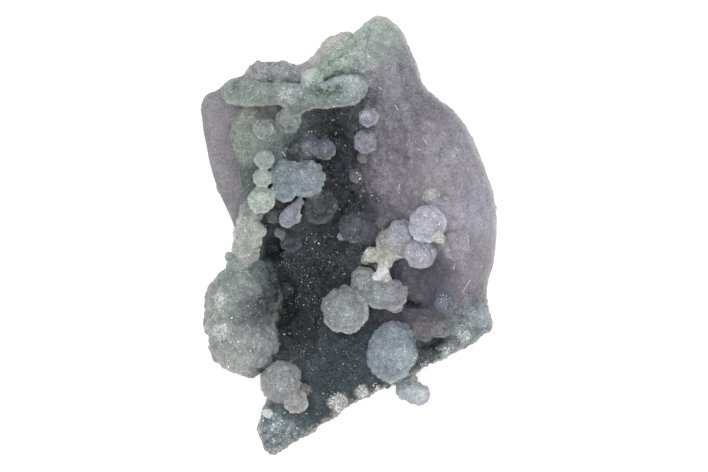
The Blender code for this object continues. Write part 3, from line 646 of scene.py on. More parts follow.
def named_lobes():
    """The round lobes as rows of x, y, z, three half-axes and turn in degrees; and their colours."""
    rows = []
    names = []
    for x, y, radius, lift, name in BEADS:
        rows.append((x, y, height_at(x, y) + lift, radius, radius, radius, 0.0))
        names.append(name)
    for x, y, z, radius, name in FREE_LOBES:
        rows.append((x, y, z, radius, radius, radius, 0.0))
        names.append(name)
    rows.append((*OVAL_CENTRE, *OVAL_AXES, OVAL_TURN))
    names.append(OVAL_TINT)
    for points, name in FINGERS:
        for x, y, z, radius in smooth_path(points, False, FINGER_STEPS):
            radius *= 1.0 + FINGER_LUMPS * noise.noise(Vector((x, y, z)) / radius)
            rows.append((x, y, z, radius, radius, radius, 0.0))
            names.append(name)
    return np.array(rows), names


def lumps_on(lobes, count, rng):
    """Smaller lobes sunk in the larger ones, so that no bead is a true ball."""
    large = np.repeat(lobes[lobes[:, 3] > LUMPED_RADIUS], count, axis=0)
    ways = rng.normal(size=(len(large), 3))
    ways /= np.linalg.norm(ways, axis=1)[:, None]
    share = rng.uniform(*LUMP_SIZES, len(large))
    reach = rng.uniform(*LUMP_REACH, len(large)) - share
    centres = large[:, :3] + ways * large[:, 3:6] * reach[:, None]
    return np.hstack([centres, large[:, 3:6] * share[:, None], large[:, 6:]])


def turned(lobes):
    """The turn of each lobe, as matrices."""
    angle = np.radians(lobes[:, 6])
    turns = np.zeros((len(lobes), 3, 3))
    turns[:, 0, 0] = turns[:, 1, 1] = np.cos(angle)
    turns[:, 1, 0] = np.sin(angle)
    turns[:, 0, 1] = -np.sin(angle)
    turns[:, 2, 2] = 1.0
    return turns


def shape_of(bm):
    """Corners and faces of a bmesh as arrays; frees it."""
    corners = np.array([v.co[:] for v in bm.verts])
    faces = np.array([[v.index for v in face.verts] for face in bm.faces])
    bm.free()
    return corners, faces


def ball_shape(subdivisions):
    """A ball of radius 1."""
    bm = bmesh.new()
    bmesh.ops.create_icosphere(bm, subdivisions=subdivisions, radius=1.0)
    return shape_of(bm)


def copies(name, shape, places, turns, sizes):
    """One mesh of many copies of a shape, each at its place, with its turn and its three sizes."""
    corners, faces = shape
    points = np.einsum('nij,nkj->nki', turns, corners[None] * sizes[:, None]) + places[:, None]
    numbers = faces[None] + len(corners) * np.arange(len(places))[:, None, None]
    mesh = bpy.data.meshes.new(name)
    mesh.from_pydata(points.reshape(-1, 3), [], numbers.reshape(-1, faces.shape[1]))
    return mesh


def overlapping_shapes(stone, lobes):
    """Plates, lobes and small beads, still overlapping, in one mesh."""
    rng = np.random.default_rng(stone.seed)
    small = np.vstack([small_beads(stone, rng), lumps_on(lobes, stone.lumps, rng)])
    bm = bmesh.new()
    add_plate(bm, PLATE_EDGE, front_height, rough_back, PLATE_CELL)
    add_plate(bm, LEAF_EDGE, leaf_height, rough_back, PLATE_CELL)
    for rows, subdivisions in ((lobes, 4), (small, 2)):
        balls = copies("balls", ball_shape(subdivisions), rows[:, :3], turned(rows), rows[:, 3:6])
        bm.from_mesh(balls)
        bpy.data.meshes.remove(balls)
    mesh = bpy.data.meshes.new("grown")
    bm.to_mesh(mesh)
    bm.free()
    return mesh


def with_modifiers(mesh, *steps):
    """A new mesh: the old one after these modifiers, each a type and its settings."""
    draft = bpy.data.objects.new("draft", mesh)
    bpy.context.scene.collection.objects.link(draft)
    for kind, values in steps:
        modifier = draft.modifiers.new(kind, kind)
        for name, value in values.items():
            setattr(modifier, name, value)
    graph = bpy.context.evaluated_depsgraph_get()
    made = bpy.data.meshes.new_from_object(draft.evaluated_get(graph))
    bpy.data.objects.remove(draft)
    bpy.data.meshes.remove(mesh)
    return made


def keep_outer_skin(mesh):
    """Removes every connected part but the largest, such as the skin of a sealed cavity."""
    bm = bmesh.new()
    bm.from_mesh(mesh)
    left = set(bm.verts)
    groups = []
    while left:
        group = set()
        edge = [left.pop()]
        while edge:
            vert = edge.pop()
            group.add(vert)
            for link in vert.link_edges:
                other = link.other_vert(vert)
                if other in left:
                    left.discard(other)
                    edge.append(other)
        groups.append(group)
    groups.sort(key=len)
    bmesh.ops.delete(bm, geom=[v for group in groups[:-1] for v in group], context='VERTS')
    bm.to_mesh(mesh)
    bm.free()


def array_of(items, name, width):
    """One value of every item, as an array."""
    values = np.empty(len(items) * width, dtype=np.float32)
    items.foreach_get(name, values)
    return values.reshape(-1, width).astype(float)


def rise(value, start, width):
    """Share from 0 to 1 as the value climbs past the start, over this width."""
    return np.clip((value - start) / width, 0.0, 1.0)


def bead_zones(places, normals, lobes, names):
    """At each place: the share of bead, its colour, its share of painted rim light on the foot, and
    its size.
    """
    colours = settings("colours")
    share = np.zeros(len(places))
    weights = np.full(len(places), 1e-9)
    blended = np.zeros((len(places), 5))
    for row, turn, name in zip(lobes, turned(lobes), names):
        reach = row[3:6].max()
        away = places - row[:3]
        close = np.flatnonzero((away ** 2).sum(axis=1) < (reach + BEAD_FADE) ** 2)
        local = away[close] @ turn / row[3:6]
        length = np.linalg.norm(local, axis=1)
        gap = np.abs(length - 1.0) * reach
        faces_out = ((local @ turn.T) * normals[close]).sum(axis=1) / length
        facing = rise(faces_out, 0.25, 0.3)
        weight = (0.02 + facing) / (0.3 + gap) ** 4
        facts = np.empty((len(close), 5))
        facts[:, :3] = getattr(colours, name)
        ways = local / length[:, None]
        # Painted rim light: pale low on a bead, mostly on one side, and less on beads sunk in the
        # plate.
        side = LIT_FOOT_SPREAD + ways[:, :2] @ LIT_FOOT_SIDE
        proud = np.clip((row[2] - height_at(row[0], row[1])) / reach + 0.25, 0.0, 1.0)
        low = rise(-ways[:, 2], -0.7, 0.35)
        facts[:, 3] = low * np.clip(side, 0.0, 1.0) * proud
        facts[:, 4] = reach
        blended[close] += weight[:, None] * facts
        weights[close] += weight
        own = np.clip(1.6 - gap / (0.35 + 0.12 * reach), 0.0, 1.0)
        share[close] = np.maximum(share[close], own * facing)
    blended /= weights[:, None]
    return share, blended[:, :3], blended[:, 3], blended[:, 4]


def zones(places, normals, bead):
    """Shares from 0 to 1 of leaf, broken stone, the broken edge's rim and painted light through the
    thin rim.
    """
    loop = smooth_path(PLATE_EDGE, True, EDGE_STEPS)
    depth, rows = nearest_on_loop(places[:, 0], places[:, 1], loop)
    leaf = rise(-depth, 0.0, 0.5) * (1.0 - bead)
    leaf *= (places[:, 0] < LEAF_CORNER[0]) & (places[:, 1] > LEAF_CORNER[1])
    under = rise(-normals[:, 2], 0.1, 0.2)
    snapped = rows[:, 3] < BROKEN_ROUND
    edge = snapped & (depth < 0.7) & (normals[:, 2] < 0.5)
    broken = np.maximum(under, edge) * (1.0 - bead)
    bare = (1.0 - broken) * (1.0 - bead)
    rim = np.clip(1.6 - np.abs(depth), 0.0, 1.0) * snapped * bare
    thin = np.clip(1.0 - np.abs(depth) / 1.2, 0.0, 1.0) * (1.0 - snapped) * bare
    return leaf, broken, rim, thin


def ground_colours(places):
    """The plate's colour and the crystals' coarseness at each place, as four columns."""
    colours = settings("colours")
    total = np.zeros((len(places), 4))
    weights = np.zeros(len(places))
    for x, y, reach, name, coarse in GROUND:
        away = ((places[:, 0] - x) ** 2 + (places[:, 1] - y) ** 2) / reach ** 2
        weight = 1.0 / (0.05 + away ** TINT_SHARPNESS)
        total += weight[:, None] * np.array([*getattr(colours, name), coarse])
        weights += weight
    return total / weights[:, None]


def domes(places, spacing):
    """Packed round bumps from 0 in the creases to 1 on top."""
    return np.clip(1.0 - (cells_at(places, spacing)[0] / 0.8) ** 2, 0.0, 1.0)


def relief(stone, places, coarse, bead, size, leaf, broken):
    """How far the skin stands out from the plain shapes, in millimetres."""
    spacing = stone.cobble / MM
    height = stone.cobble_height / MM
    bent = places + 0.3 * spacing * noise_at(places, 2.5)[:, None]
    bumps = height * (domes(bent, spacing) - 0.4)
    fine = 0.5 * height * (domes(bent, 0.45 * spacing) - 0.4)
    lumps = sum(high * noise_at(places, apart, shift) for apart, high, shift in SKIN_LUMPS)
    hackle = sum(high * np.abs(noise_at(places, apart, shift)) for apart, high, shift in HACKLES)
    near, next_near = cells_at(places, spacing)
    rough = hackle + HACKLE_CELLS * (next_near - near) - HACKLE_DEPTH
    ground = (0.1 + 0.9 * coarse) * bumps + (0.2 + 0.8 * coarse) * (fine + lumps)
    beads = 1.3 * np.clip(size / 3.5, 0.3, 1.0) * bumps + 1.1 * fine
    skin = ground * (1.0 - bead) + beads * bead
    skin = skin * (1.0 - leaf) + 0.25 * lumps * leaf
    return skin * (1.0 - broken) + rough * broken


def patch_share(spots, patch):
    """A patch's share at each place, from its amount in the middle down to 0."""
    x, y, reach, amount = patch
    away = ((spots[:, 0] - x) ** 2 + (spots[:, 1] - y) ** 2) / reach ** 2
    return amount * np.exp(-away ** 2)


def frost_and_highlight_share(spots):
    """The share of white crystals and painted highlights at each place."""
    return np.max([patch_share(spots, patch) for patch in FROST_AND_HIGHLIGHTS], axis=0)


def mixed(base, over, amount):
    """A share of one set of colours over another."""
    return base + (np.asarray(over) - base) * amount[:, None]


def patch_spots(places):
    """The places, moved a little so that the edges of patches wander."""
    step, length = TINT_WANDER
    return places[:, :2] + step * wander(places, length)


def stone_colours(places, ground, bead, bead_colour, foot, leaf, rim, thin):
    """The stone's colour at each place."""
    colours = settings("colours")
    # Painted light and shade: the ground is lighter where the skin stands above the plate's plain
    # front and darker where it sinks below it.
    raised = np.clip((places[:, 2] - front_height(places[:, 0], places[:, 1])) / 0.7, -0.6, 1.0)
    bumps = 1.0 + 0.4 * (raised * ground[:, 3] * (1.0 - bead) * (1.0 - leaf))[:, None]
    found = mixed(ground[:, :3] * bumps, colours.leaf_grey, leaf)
    own = BEAD_SHARE * bead_colour + (1.0 - BEAD_SHARE) * ground[:, :3]
    found = mixed(found, own, bead)
    spots = patch_spots(places)
    # Painted rim light: a bead's foot is lightened, mostly on one side, and so is the plate's thin
    # rim, as though lit through from behind.
    pale = 1.2 * found + 0.36 * np.array(colours.rim_light_cream)
    found = mixed(found, pale, LIT_FOOT_SHARE * foot * bead)
    found = mixed(found, colours.rim_light_cream, THIN_SHARE * thin)
    ragged = np.clip(0.45 + 3.0 * noise_at(places, 0.6, 31.0), 0.0, 1.0)
    found = mixed(found, colours.milky, RIM_SHARE * rim * ragged)
    # Painted shade: hollows and the crack are darkened to near black, but not on beads.
    for spot in SHADED_HOLLOWS:
        found = mixed(found, colours.hollow_shade, (1.0 - bead) * patch_share(spots, spot))
    for *spot, name in PATCHES:
        found = mixed(found, getattr(colours, name), patch_share(spots, spot))
    for spot in MOSSY:
        found = mixed(found, colours.moss, ragged * patch_share(spots, spot))
    # Painted highlights: white at the frosted places, partly real white quartz and partly painted
    # highlight.
    found = mixed(found, colours.milky, FROST_AND_HIGHLIGHT_SHARE * ragged * frost_and_highlight_share(spots) ** 2)
    # Painted shade: darker in the creases between small round bumps, lighter on their tops.
    creases = 0.90 + 0.20 * domes(places, 1.7)
    uneven = 0.05 + 0.27 * ground[:, 3] * (1.0 - bead) + 0.05 * bead
    mottle = 1.0 + uneven * (noise_at(places, 2.2, 21.0) + noise_at(places, 0.9, 29.0))
    return found * (creases * mottle)[:, None]


def cut_flat(mesh):
    """Cuts the mesh off at the resting plane and closes the cut with one flat face."""
    bm = bmesh.new()
    bm.from_mesh(mesh)
    everything = bm.verts[:] + bm.edges[:] + bm.faces[:]
    bmesh.ops.bisect_plane(bm, geom=everything, plane_co=(0.0, 0.0, 0.0), plane_no=(0.0, 0.0, 1.0),
                           clear_inner=True, dist=1e-5)
    rims = [e for e in bm.edges if e.is_boundary]
    bmesh.ops.triangle_fill(bm, use_beauty=True, edges=rims, normal=(0.0, 0.0, -1.0))
    bmesh.ops.recalc_face_normals(bm, faces=bm.faces[:])
    bm.to_mesh(mesh)
    bm.free()


def put_attribute(mesh, name, values):
    """Stores one colour for each vertex."""
    layer = mesh.color_attributes.new(name, 'FLOAT_COLOR', 'POINT')
    full = np.ones((len(values), 4), dtype=np.float32)
    full[:, :values.shape[1]] = values
    layer.data.foreach_set("color", full.ravel())


def node(tree, kind, links=(), **values):
    """Adds a node; values are its settings or inputs, links are (input, output socket)."""
    made = tree.nodes.new(kind)
    for name, value in values.items():
        if hasattr(made, name):
            setattr(made, name, value)
        else:
            made.inputs[name.replace("_", " ")].default_value = value
    for name, socket in links:
        tree.links.new(made.inputs[name], socket)
    return made


def new_material(name):
    """A material with a Principled shader, its node tree and that shader."""
    material = bpy.data.materials.new(name)
    material.use_nodes = True
    tree = material.node_tree
    return material, tree, tree.nodes["Principled BSDF"]


def wave_scale(apart):
    """Scale of a wave texture with bands this far apart: at 1 it runs 20 radians a metre."""
    return math.tau / 20.0 / apart


def shade(base, share):
    """A colour for a socket, made darker or lighter by this share."""
    return (*[c * share for c in base], 1.0)


def set_shader(shader, **values):
    """Sets plain values on a shader's own sockets."""
    for name, value in values.items():
        shader.inputs[name.replace("_", " ")].default_value = value


def drusy_chalcedony():
    """Waxy, faintly translucent chalcedony under the quartz crust."""
    material, tree, shader = new_material("drusy chalcedony")
    tint = node(tree, "ShaderNodeAttribute", attribute_name="tint")
    where = node(tree, "ShaderNodeTexCoord")
    speckle = node(tree, "ShaderNodeTexNoise", [("Vector", where.outputs["Object"])],
                   Scale=1.0 / (0.4 * MM), Detail=3.0, Roughness=0.6)
    light = node(tree, "ShaderNodeMapRange", [("Value", speckle.outputs["Fac"])],
                 From_Min=0.3, From_Max=0.75, To_Min=0.75, To_Max=1.35)
    speckled = node(tree, "ShaderNodeVectorMath", [(0, tint.outputs["Color"]),
                                                   (1, light.outputs["Result"])],
                    operation='MULTIPLY')
    tree.links.new(shader.inputs["Base Color"], speckled.outputs[0])
    rough = node(tree, "ShaderNodeMapRange", [("Value", speckle.outputs["Fac"])],
                 To_Min=0.5, To_Max=0.3)
    tree.links.new(shader.inputs["Roughness"], rough.outputs["Result"])
    bump = node(tree, "ShaderNodeBump", [("Height", speckle.outputs["Fac"])],
                Strength=0.35, Distance=0.12 * MM)
    tree.links.new(shader.inputs["Normal"], bump.outputs["Normal"])
    zone = node(tree, "ShaderNodeAttribute", attribute_name="crust")
    parts = node(tree, "ShaderNodeSeparateColor", [("Color", zone.outputs["Color"])])
    glow = node(tree, "ShaderNodeMapRange", [("Value", parts.outputs["Green"])],
                To_Min=0.2, To_Max=0.75)
    tree.links.new(shader.inputs["Subsurface Weight"], glow.outputs["Result"])
    set_shader(shader, IOR=1.54, Subsurface_Scale=1.6 * MM, Subsurface_Radius=(1.0, 1.0, 1.15),
               Specular_IOR_Level=0.2)
    return material


def quartz_crust():
    """Small clear quartz crystals, which take the colour of the stone under them."""
    material, tree, shader = new_material("quartz crust")
    tint = node(tree, "ShaderNodeAttribute", attribute_name="tint")
    tree.links.new(shader.inputs["Base Color"], tint.outputs["Color"])
    set_shader(shader, IOR=1.544, Specular_IOR_Level=0.35, Roughness=0.07, Subsurface_Weight=0.1,
               Subsurface_Scale=0.5 * MM, Subsurface_Radius=(1.0, 1.0, 1.0))
    return material


def broken_chalcedony():
    """Broken stone: waxy, with thin bands that follow the plate and a rough hackly face."""
    material, tree, shader = new_material("broken chalcedony")
    where = node(tree, "ShaderNodeTexCoord")
    bands = node(tree, "ShaderNodeTexWave", [("Vector", where.outputs["Object"])],
                 bands_direction='Z', Scale=wave_scale(3.0 * MM), Distortion=12.0, Detail=5.0)
    sharp = node(tree, "ShaderNodeMapRange", [("Value", bands.outputs["Fac"])],
                 From_Min=0.3, From_Max=0.7)
    grit = node(tree, "ShaderNodeTexNoise", [("Vector", where.outputs["Object"])],
                Scale=1.0 / (0.9 * MM), Detail=6.0, Roughness=0.7)
    base = settings("colours").broken
    banded = node(tree, "ShaderNodeMix", [("Factor", sharp.outputs["Result"])],
                  data_type='RGBA')
    banded.inputs["A"].default_value = shade(base, 0.78)
    banded.inputs["B"].default_value = shade(base, 0.95)
    grain = node(tree, "ShaderNodeMapRange", [("Value", grit.outputs["Fac"])],
                 From_Min=0.3, From_Max=0.7, To_Min=0.6, To_Max=1.3)
    stone = node(tree, "ShaderNodeVectorMath", [(0, banded.outputs["Result"]),
                                                (1, grain.outputs["Result"])],
                 operation='MULTIPLY')
    tree.links.new(shader.inputs["Base Color"], stone.outputs[0])
    rough = node(tree, "ShaderNodeMapRange", [("Value", grit.outputs["Fac"])],
                 To_Min=0.6, To_Max=0.38)
    tree.links.new(shader.inputs["Roughness"], rough.outputs["Result"])
    bump = node(tree, "ShaderNodeBump", [("Height", grit.outputs["Fac"])],
                Strength=0.8, Distance=0.5 * MM)
    tree.links.new(shader.inputs["Normal"], bump.outputs["Normal"])
    set_shader(shader, IOR=1.54, Subsurface_Weight=0.1, Subsurface_Scale=1.2 * MM,
               Subsurface_Radius=(1.0, 1.0, 1.0))
    return material


def sawn_chalcedony():
    """The sawn back: flat, with fine saw lines and faint clouds."""
    material, tree, shader = new_material("sawn chalcedony")
    where = node(tree, "ShaderNodeTexCoord")
    clouds = node(tree, "ShaderNodeTexNoise", [("Vector", where.outputs["Object"])],
                  Scale=1.0 / (9.0 * MM), Detail=4.0, Distortion=1.2)
    base = settings("colours").sawn
    cloudy = node(tree, "ShaderNodeMix", [("Factor", clouds.outputs["Fac"])], data_type='RGBA')
    cloudy.inputs["A"].default_value = shade(base, 0.6)
    cloudy.inputs["B"].default_value = shade(base, 1.3)
    tree.links.new(shader.inputs["Base Color"], cloudy.outputs["Result"])
    lines = node(tree, "ShaderNodeTexWave", [("Vector", where.outputs["Object"])],
                 bands_direction='X', Scale=wave_scale(1.5 * MM), Distortion=0.6)
    bump = node(tree, "ShaderNodeBump", [("Height", lines.outputs["Fac"])],
                Strength=0.2, Distance=0.03 * MM)
    tree.links.new(shader.inputs["Normal"], bump.outputs["Normal"])
    set_shader(shader, IOR=1.54, Roughness=0.4)
    return material


def add_piece(name, mesh):
    """Links a finished mesh as a piece of the stone's body."""
    piece = bpy.data.objects.new(name, mesh)
    bpy.context.scene.collection.objects.link(piece)
    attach(piece, BODY)
    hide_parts(NODE)
    return piece


def stone_piece():
    """The stone's skin, which the crystals grow on."""
    stone = bpy.data.objects.get(STONE)
    if stone is None:
        raise RuntimeError("grow the stone first")
    return stone


class AGATE_OT_grow_stone(bpy.types.Operator):
    """Grows the stone's fine skin from its plates, beads and fingers"""
    bl_idname = "agate.grow_stone"
    bl_label = "Grow stone"

    def execute(self, context):
        stone = settings("stone")
        lobes, names = named_lobes()
        grain = stone.grain / MM
        mesh = with_modifiers(
            overlapping_shapes(stone, lobes),
            ('REMESH', {"mode": 'VOXEL', "voxel_size": grain}),
            ('SMOOTH', {"factor": 0.5, "iterations": 2}))
        keep_outer_skin(mesh)
        places = array_of(mesh.vertices, "co", 3)
        low = places.min(axis=0)
        high = places.max(axis=0)
        normals = array_of(mesh.vertex_normals, "vector", 3)
        bead, _, _, size = bead_zones(places, normals, lobes, names)
        leaf, broken, _, _ = zones(places, normals, bead)
        coarse = ground_colours(places)[:, 3]
        out = relief(stone, places, coarse, bead, size, leaf, broken)
        mesh.vertices.foreach_set("co", (places + normals * out[:, None]).ravel())
        cut_flat(mesh)
        mesh.calc_loop_triangles()
        ratio = min(1.0, stone.triangles / len(mesh.loop_triangles))
        mesh = with_modifiers(mesh, ('TRIANGULATE', {}), ('DECIMATE', {"ratio": ratio}))
        self.paint(mesh, lobes, names)
        frame_low, frame_high = CAD_BOX
        scale = (frame_high.y - frame_low.y) / (high[1] - low[1])
        middle = (low + high) / 2.0
        mesh.transform(Matrix.Scale(scale, 4) @ Matrix.Translation((-middle[0], -middle[1], 0.0)))
        mesh.name = STONE
        mesh.shade_smooth()
        piece = add_piece(STONE, mesh)
        piece["drawn_middle"] = (middle[0], middle[1])
        piece["drawn_scale"] = scale
        return {'FINISHED'}

    def paint(self, mesh, lobes, names):
        """Stores the stone's colour, painted light and shade included, and its crystals' cover, bead
        share, coarseness and white share.
        """
        places = array_of(mesh.vertices, "co", 3)
        normals = array_of(mesh.vertex_normals, "vector", 3)
        bead, bead_colour, foot, _ = bead_zones(places, normals, lobes, names)
        leaf, broken, rim, thin = zones(places, normals, bead)
        step, length = GROUND_WANDER
        ground = ground_colours(places[:, :2] + step * wander(places, length))
        tint = stone_colours(places, ground, bead, bead_colour, foot, leaf, rim, thin)
        put_attribute(mesh, "tint", tint)
        deep = np.max([patch_share(places, spot) for spot in SHADED_HOLLOWS], axis=0)
        cover = (1.0 - broken) * (1.0 - 0.5 * leaf) * (1.0 - 0.2 * deep * (1.0 - bead))
        coarse = ground[:, 3] * (1.0 - bead) + 0.5 * bead
        coarse *= 1.0 - 0.5 * leaf
        # The white share: partly real white quartz, partly painted highlights and glints.
        white = frost_and_highlight_share(patch_spots(places))
        white *= np.clip(0.6 + 2.4 * noise_at(places, 0.9, 31.0), 0.0, 1.2)
        put_attribute(mesh, "crust", np.stack([cover, bead, coarse, white], axis=1))
        self.dress(mesh, broken)

    def dress(self, mesh, broken):
        """Gives the skin, the broken faces and the sawn back their materials."""
        for material in (drusy_chalcedony(), broken_chalcedony(), sawn_chalcedony()):
            mesh.materials.append(material)
        faces = np.empty(len(mesh.polygons) * 3, dtype=np.int32)
        mesh.polygons.foreach_get("vertices", faces)
        share = broken[faces.reshape(-1, 3)].mean(axis=1)
        heights = array_of(mesh.polygons, "center", 3)[:, 2]
        downs = array_of(mesh.polygons, "normal", 3)[:, 2]
        # The sawn faces lie at height 0 and look straight down.
        slots = np.where(share > 0.5, 1, 0)
        slots = np.where((heights < 0.01) & (downs < -0.99), 2, slots)
        mesh.polygons.foreach_set("material_index", slots.astype(np.int32))


def crystal_shape(prism, point):
    """A six-sided crystal of width 1, its prism and its point this tall; no prism if 0."""
    bm = bmesh.new()
    bmesh.ops.create_circle(bm, cap_ends=True, segments=6, radius=0.5)
    if prism:
        raised = bmesh.ops.extrude_face_region(bm, geom=bm.faces[:])
        tops = [item for item in raised['geom'] if isinstance(item, bmesh.types.BMVert)]
        bmesh.ops.translate(bm, vec=(0.0, 0.0, prism), verts=tops)
        top = [item for item in raised['geom'] if isinstance(item, bmesh.types.BMFace)]
    else:
        top = bmesh.ops.duplicate(bm, geom=bm.faces[:])['geom']
        top = [item for item in top if isinstance(item, bmesh.types.BMFace)]
    bmesh.ops.poke(bm, faces=top, offset=point)
    bmesh.ops.remove_doubles(bm, verts=bm.verts[:], dist=1e-5)
    bmesh.ops.triangulate(bm, faces=bm.faces[:])
    bmesh.ops.recalc_face_normals(bm, faces=bm.faces[:])
    bm.verts.index_update()
    return shape_of(bm)


def turned_frames(ups, tilt, rng):
    """A turned frame for each crystal, its third column near the given up direction."""
    lean = ups + rng.normal(0.0, math.tan(tilt), ups.shape)
    lean /= np.linalg.norm(lean, axis=1)[:, None]
    spare = rng.normal(size=ups.shape)
    side = np.cross(lean, spare)
    side /= np.linalg.norm(side, axis=1)[:, None]
    return np.stack([side, np.cross(lean, side), lean], axis=2)


def map_from_above(mesh):
    """A map for the crystals, laid out by their places as seen from above."""
    low, high = CAD_BOX
    span = max(high - low) * MAP_MARGIN
    places = array_of(mesh.vertices, "co", 3)
    corners = np.empty(len(mesh.loops), dtype=np.int32)
    mesh.loops.foreach_get("vertex_index", corners)
    layer = mesh.uv_layers.new(name="OFBake")
    layer.uv.foreach_set("vector", (places[corners][:, :2] / span + 0.5).astype(np.float32).ravel())


def scattered(stone, count, weight, rng):
    """Random places on the stone's skin, with its normal, colour and zones there."""
    mesh = stone.data
    corners = np.empty(len(mesh.polygons) * 3, dtype=np.int32)
    mesh.polygons.foreach_get("vertices", corners)
    corners = corners.reshape(-1, 3)
    area = array_of(mesh.polygons, "area", 1)[:, 0]
    zone = array_of(mesh.color_attributes["crust"].data, "color", 4)
    tint = array_of(mesh.color_attributes["tint"].data, "color", 4)[:, :3]
    share = area * weight(zone[corners].mean(axis=1))
    picked = np.searchsorted(np.cumsum(share), rng.uniform(0.0, share.sum(), count))
    mixes = rng.dirichlet((1.0, 1.0, 1.0), count)[:, :, None]
    chosen = corners[picked]
    places = array_of(mesh.vertices, "co", 3)
    normals = array_of(mesh.vertex_normals, "vector", 3)
    return [(values[chosen] * mixes).sum(axis=1) for values in (places, normals, tint, zone)]


class AGATE_OT_coat_druse(bpy.types.Operator):
    """Coats the skin with small quartz crystals"""
    bl_idname = "agate.coat_druse"
    bl_label = "Coat with druse"

    # How much the widths vary, a crystal's height as a share of its width, how deep it sits as a
    # share of its height, and the spacing of clusters of white crystals, partly real white quartz
    # and partly painted glints.
    VARIETY = 0.25
    HEIGHTS = (0.18, 0.55)
    SUNK = 0.35
    CLUSTERS = 2.5 * MM

    def execute(self, context):
        druse = settings("druse")
        rng = np.random.default_rng(druse.seed)
        places, normals, tints, zone = scattered(stone_piece(), druse.crystals,
                                                 lambda z: z[:, 0] ** 2, rng)
        normals /= np.linalg.norm(normals, axis=1)[:, None]
        _, bead, coarse, frost_and_glint = zone.T
        width = druse.width * rng.lognormal(0.0, self.VARIETY, druse.crystals)
        width *= 0.7 + 0.5 * coarse
        white_and_glint, white = self.whiteness(places, bead, coarse, frost_and_glint, rng)
        width *= 1.0 - 0.3 * white_and_glint * (1.0 - frost_and_glint).clip(0.0, 1.0)
        height = width * rng.uniform(*self.HEIGHTS, druse.crystals)
        tints = self.tinted(tints, white, bead, coarse, rng)
        frames = turned_frames(normals, druse.tilt, rng)
        sunk = places - normals * (self.SUNK * height)[:, None]
        self.add_crystals(sunk, frames, np.stack([width, width, height], axis=1), tints)
        return {'FINISHED'}

    def whiteness(self, places, bead, coarse, frost_and_glint, rng):
        """Which crystals are white, and how white each of them is: partly real white quartz, partly
        painted glints.
        """
        clusters = np.clip(0.6 + 1.8 * noise_at(places, self.CLUSTERS), 0.1, 2.0)
        often = frost_and_glint + (0.03 + 0.19 * coarse) * clusters + 0.08 * bead
        white_and_glint = rng.uniform(size=len(places)) < often
        steep = np.clip(2.2 - 2.0 * frost_and_glint, 0.3, 2.2)
        return white_and_glint, 0.95 * white_and_glint * rng.uniform(size=len(places)) ** steep

    def tinted(self, tints, white, bead, coarse, rng):
        """Each crystal's colour: the stone's own, uneven, and whiter on the white ones, partly as
        painted glints.
        """
        uneven = (0.2 + 0.45 * coarse) * (rng.exponential(1.0, len(tints)) - 0.9)
        uneven = np.maximum(uneven * (1.0 + 0.4 * bead), -0.45 + 0.2 * bead)
        found = mixed(tints * (1.0 + uneven)[:, None], settings("colours").milky, white)
        return found.clip(0.0, 1.0)

    def add_crystals(self, places, frames, sizes, tints):
        """Adds the crystals in strips across the stone, as few as the triangle limit allows."""
        material = quartz_crust()
        shape = crystal_shape(0.0, 1.0)
        strips = math.ceil(len(places) / (MOST_TRIANGLES // len(shape[1])))
        order = np.argsort(places[:, 1])
        for number, part in enumerate(np.array_split(order, strips), 1):
            name = f"druse_{number}"
            mesh = copies(name, shape, places[part], frames[part], sizes[part])
            put_attribute(mesh, "tint", np.repeat(tints[part], len(shape[0]), axis=0))
            mesh.materials.append(material)
            map_from_above(mesh)
            add_piece(name, mesh)


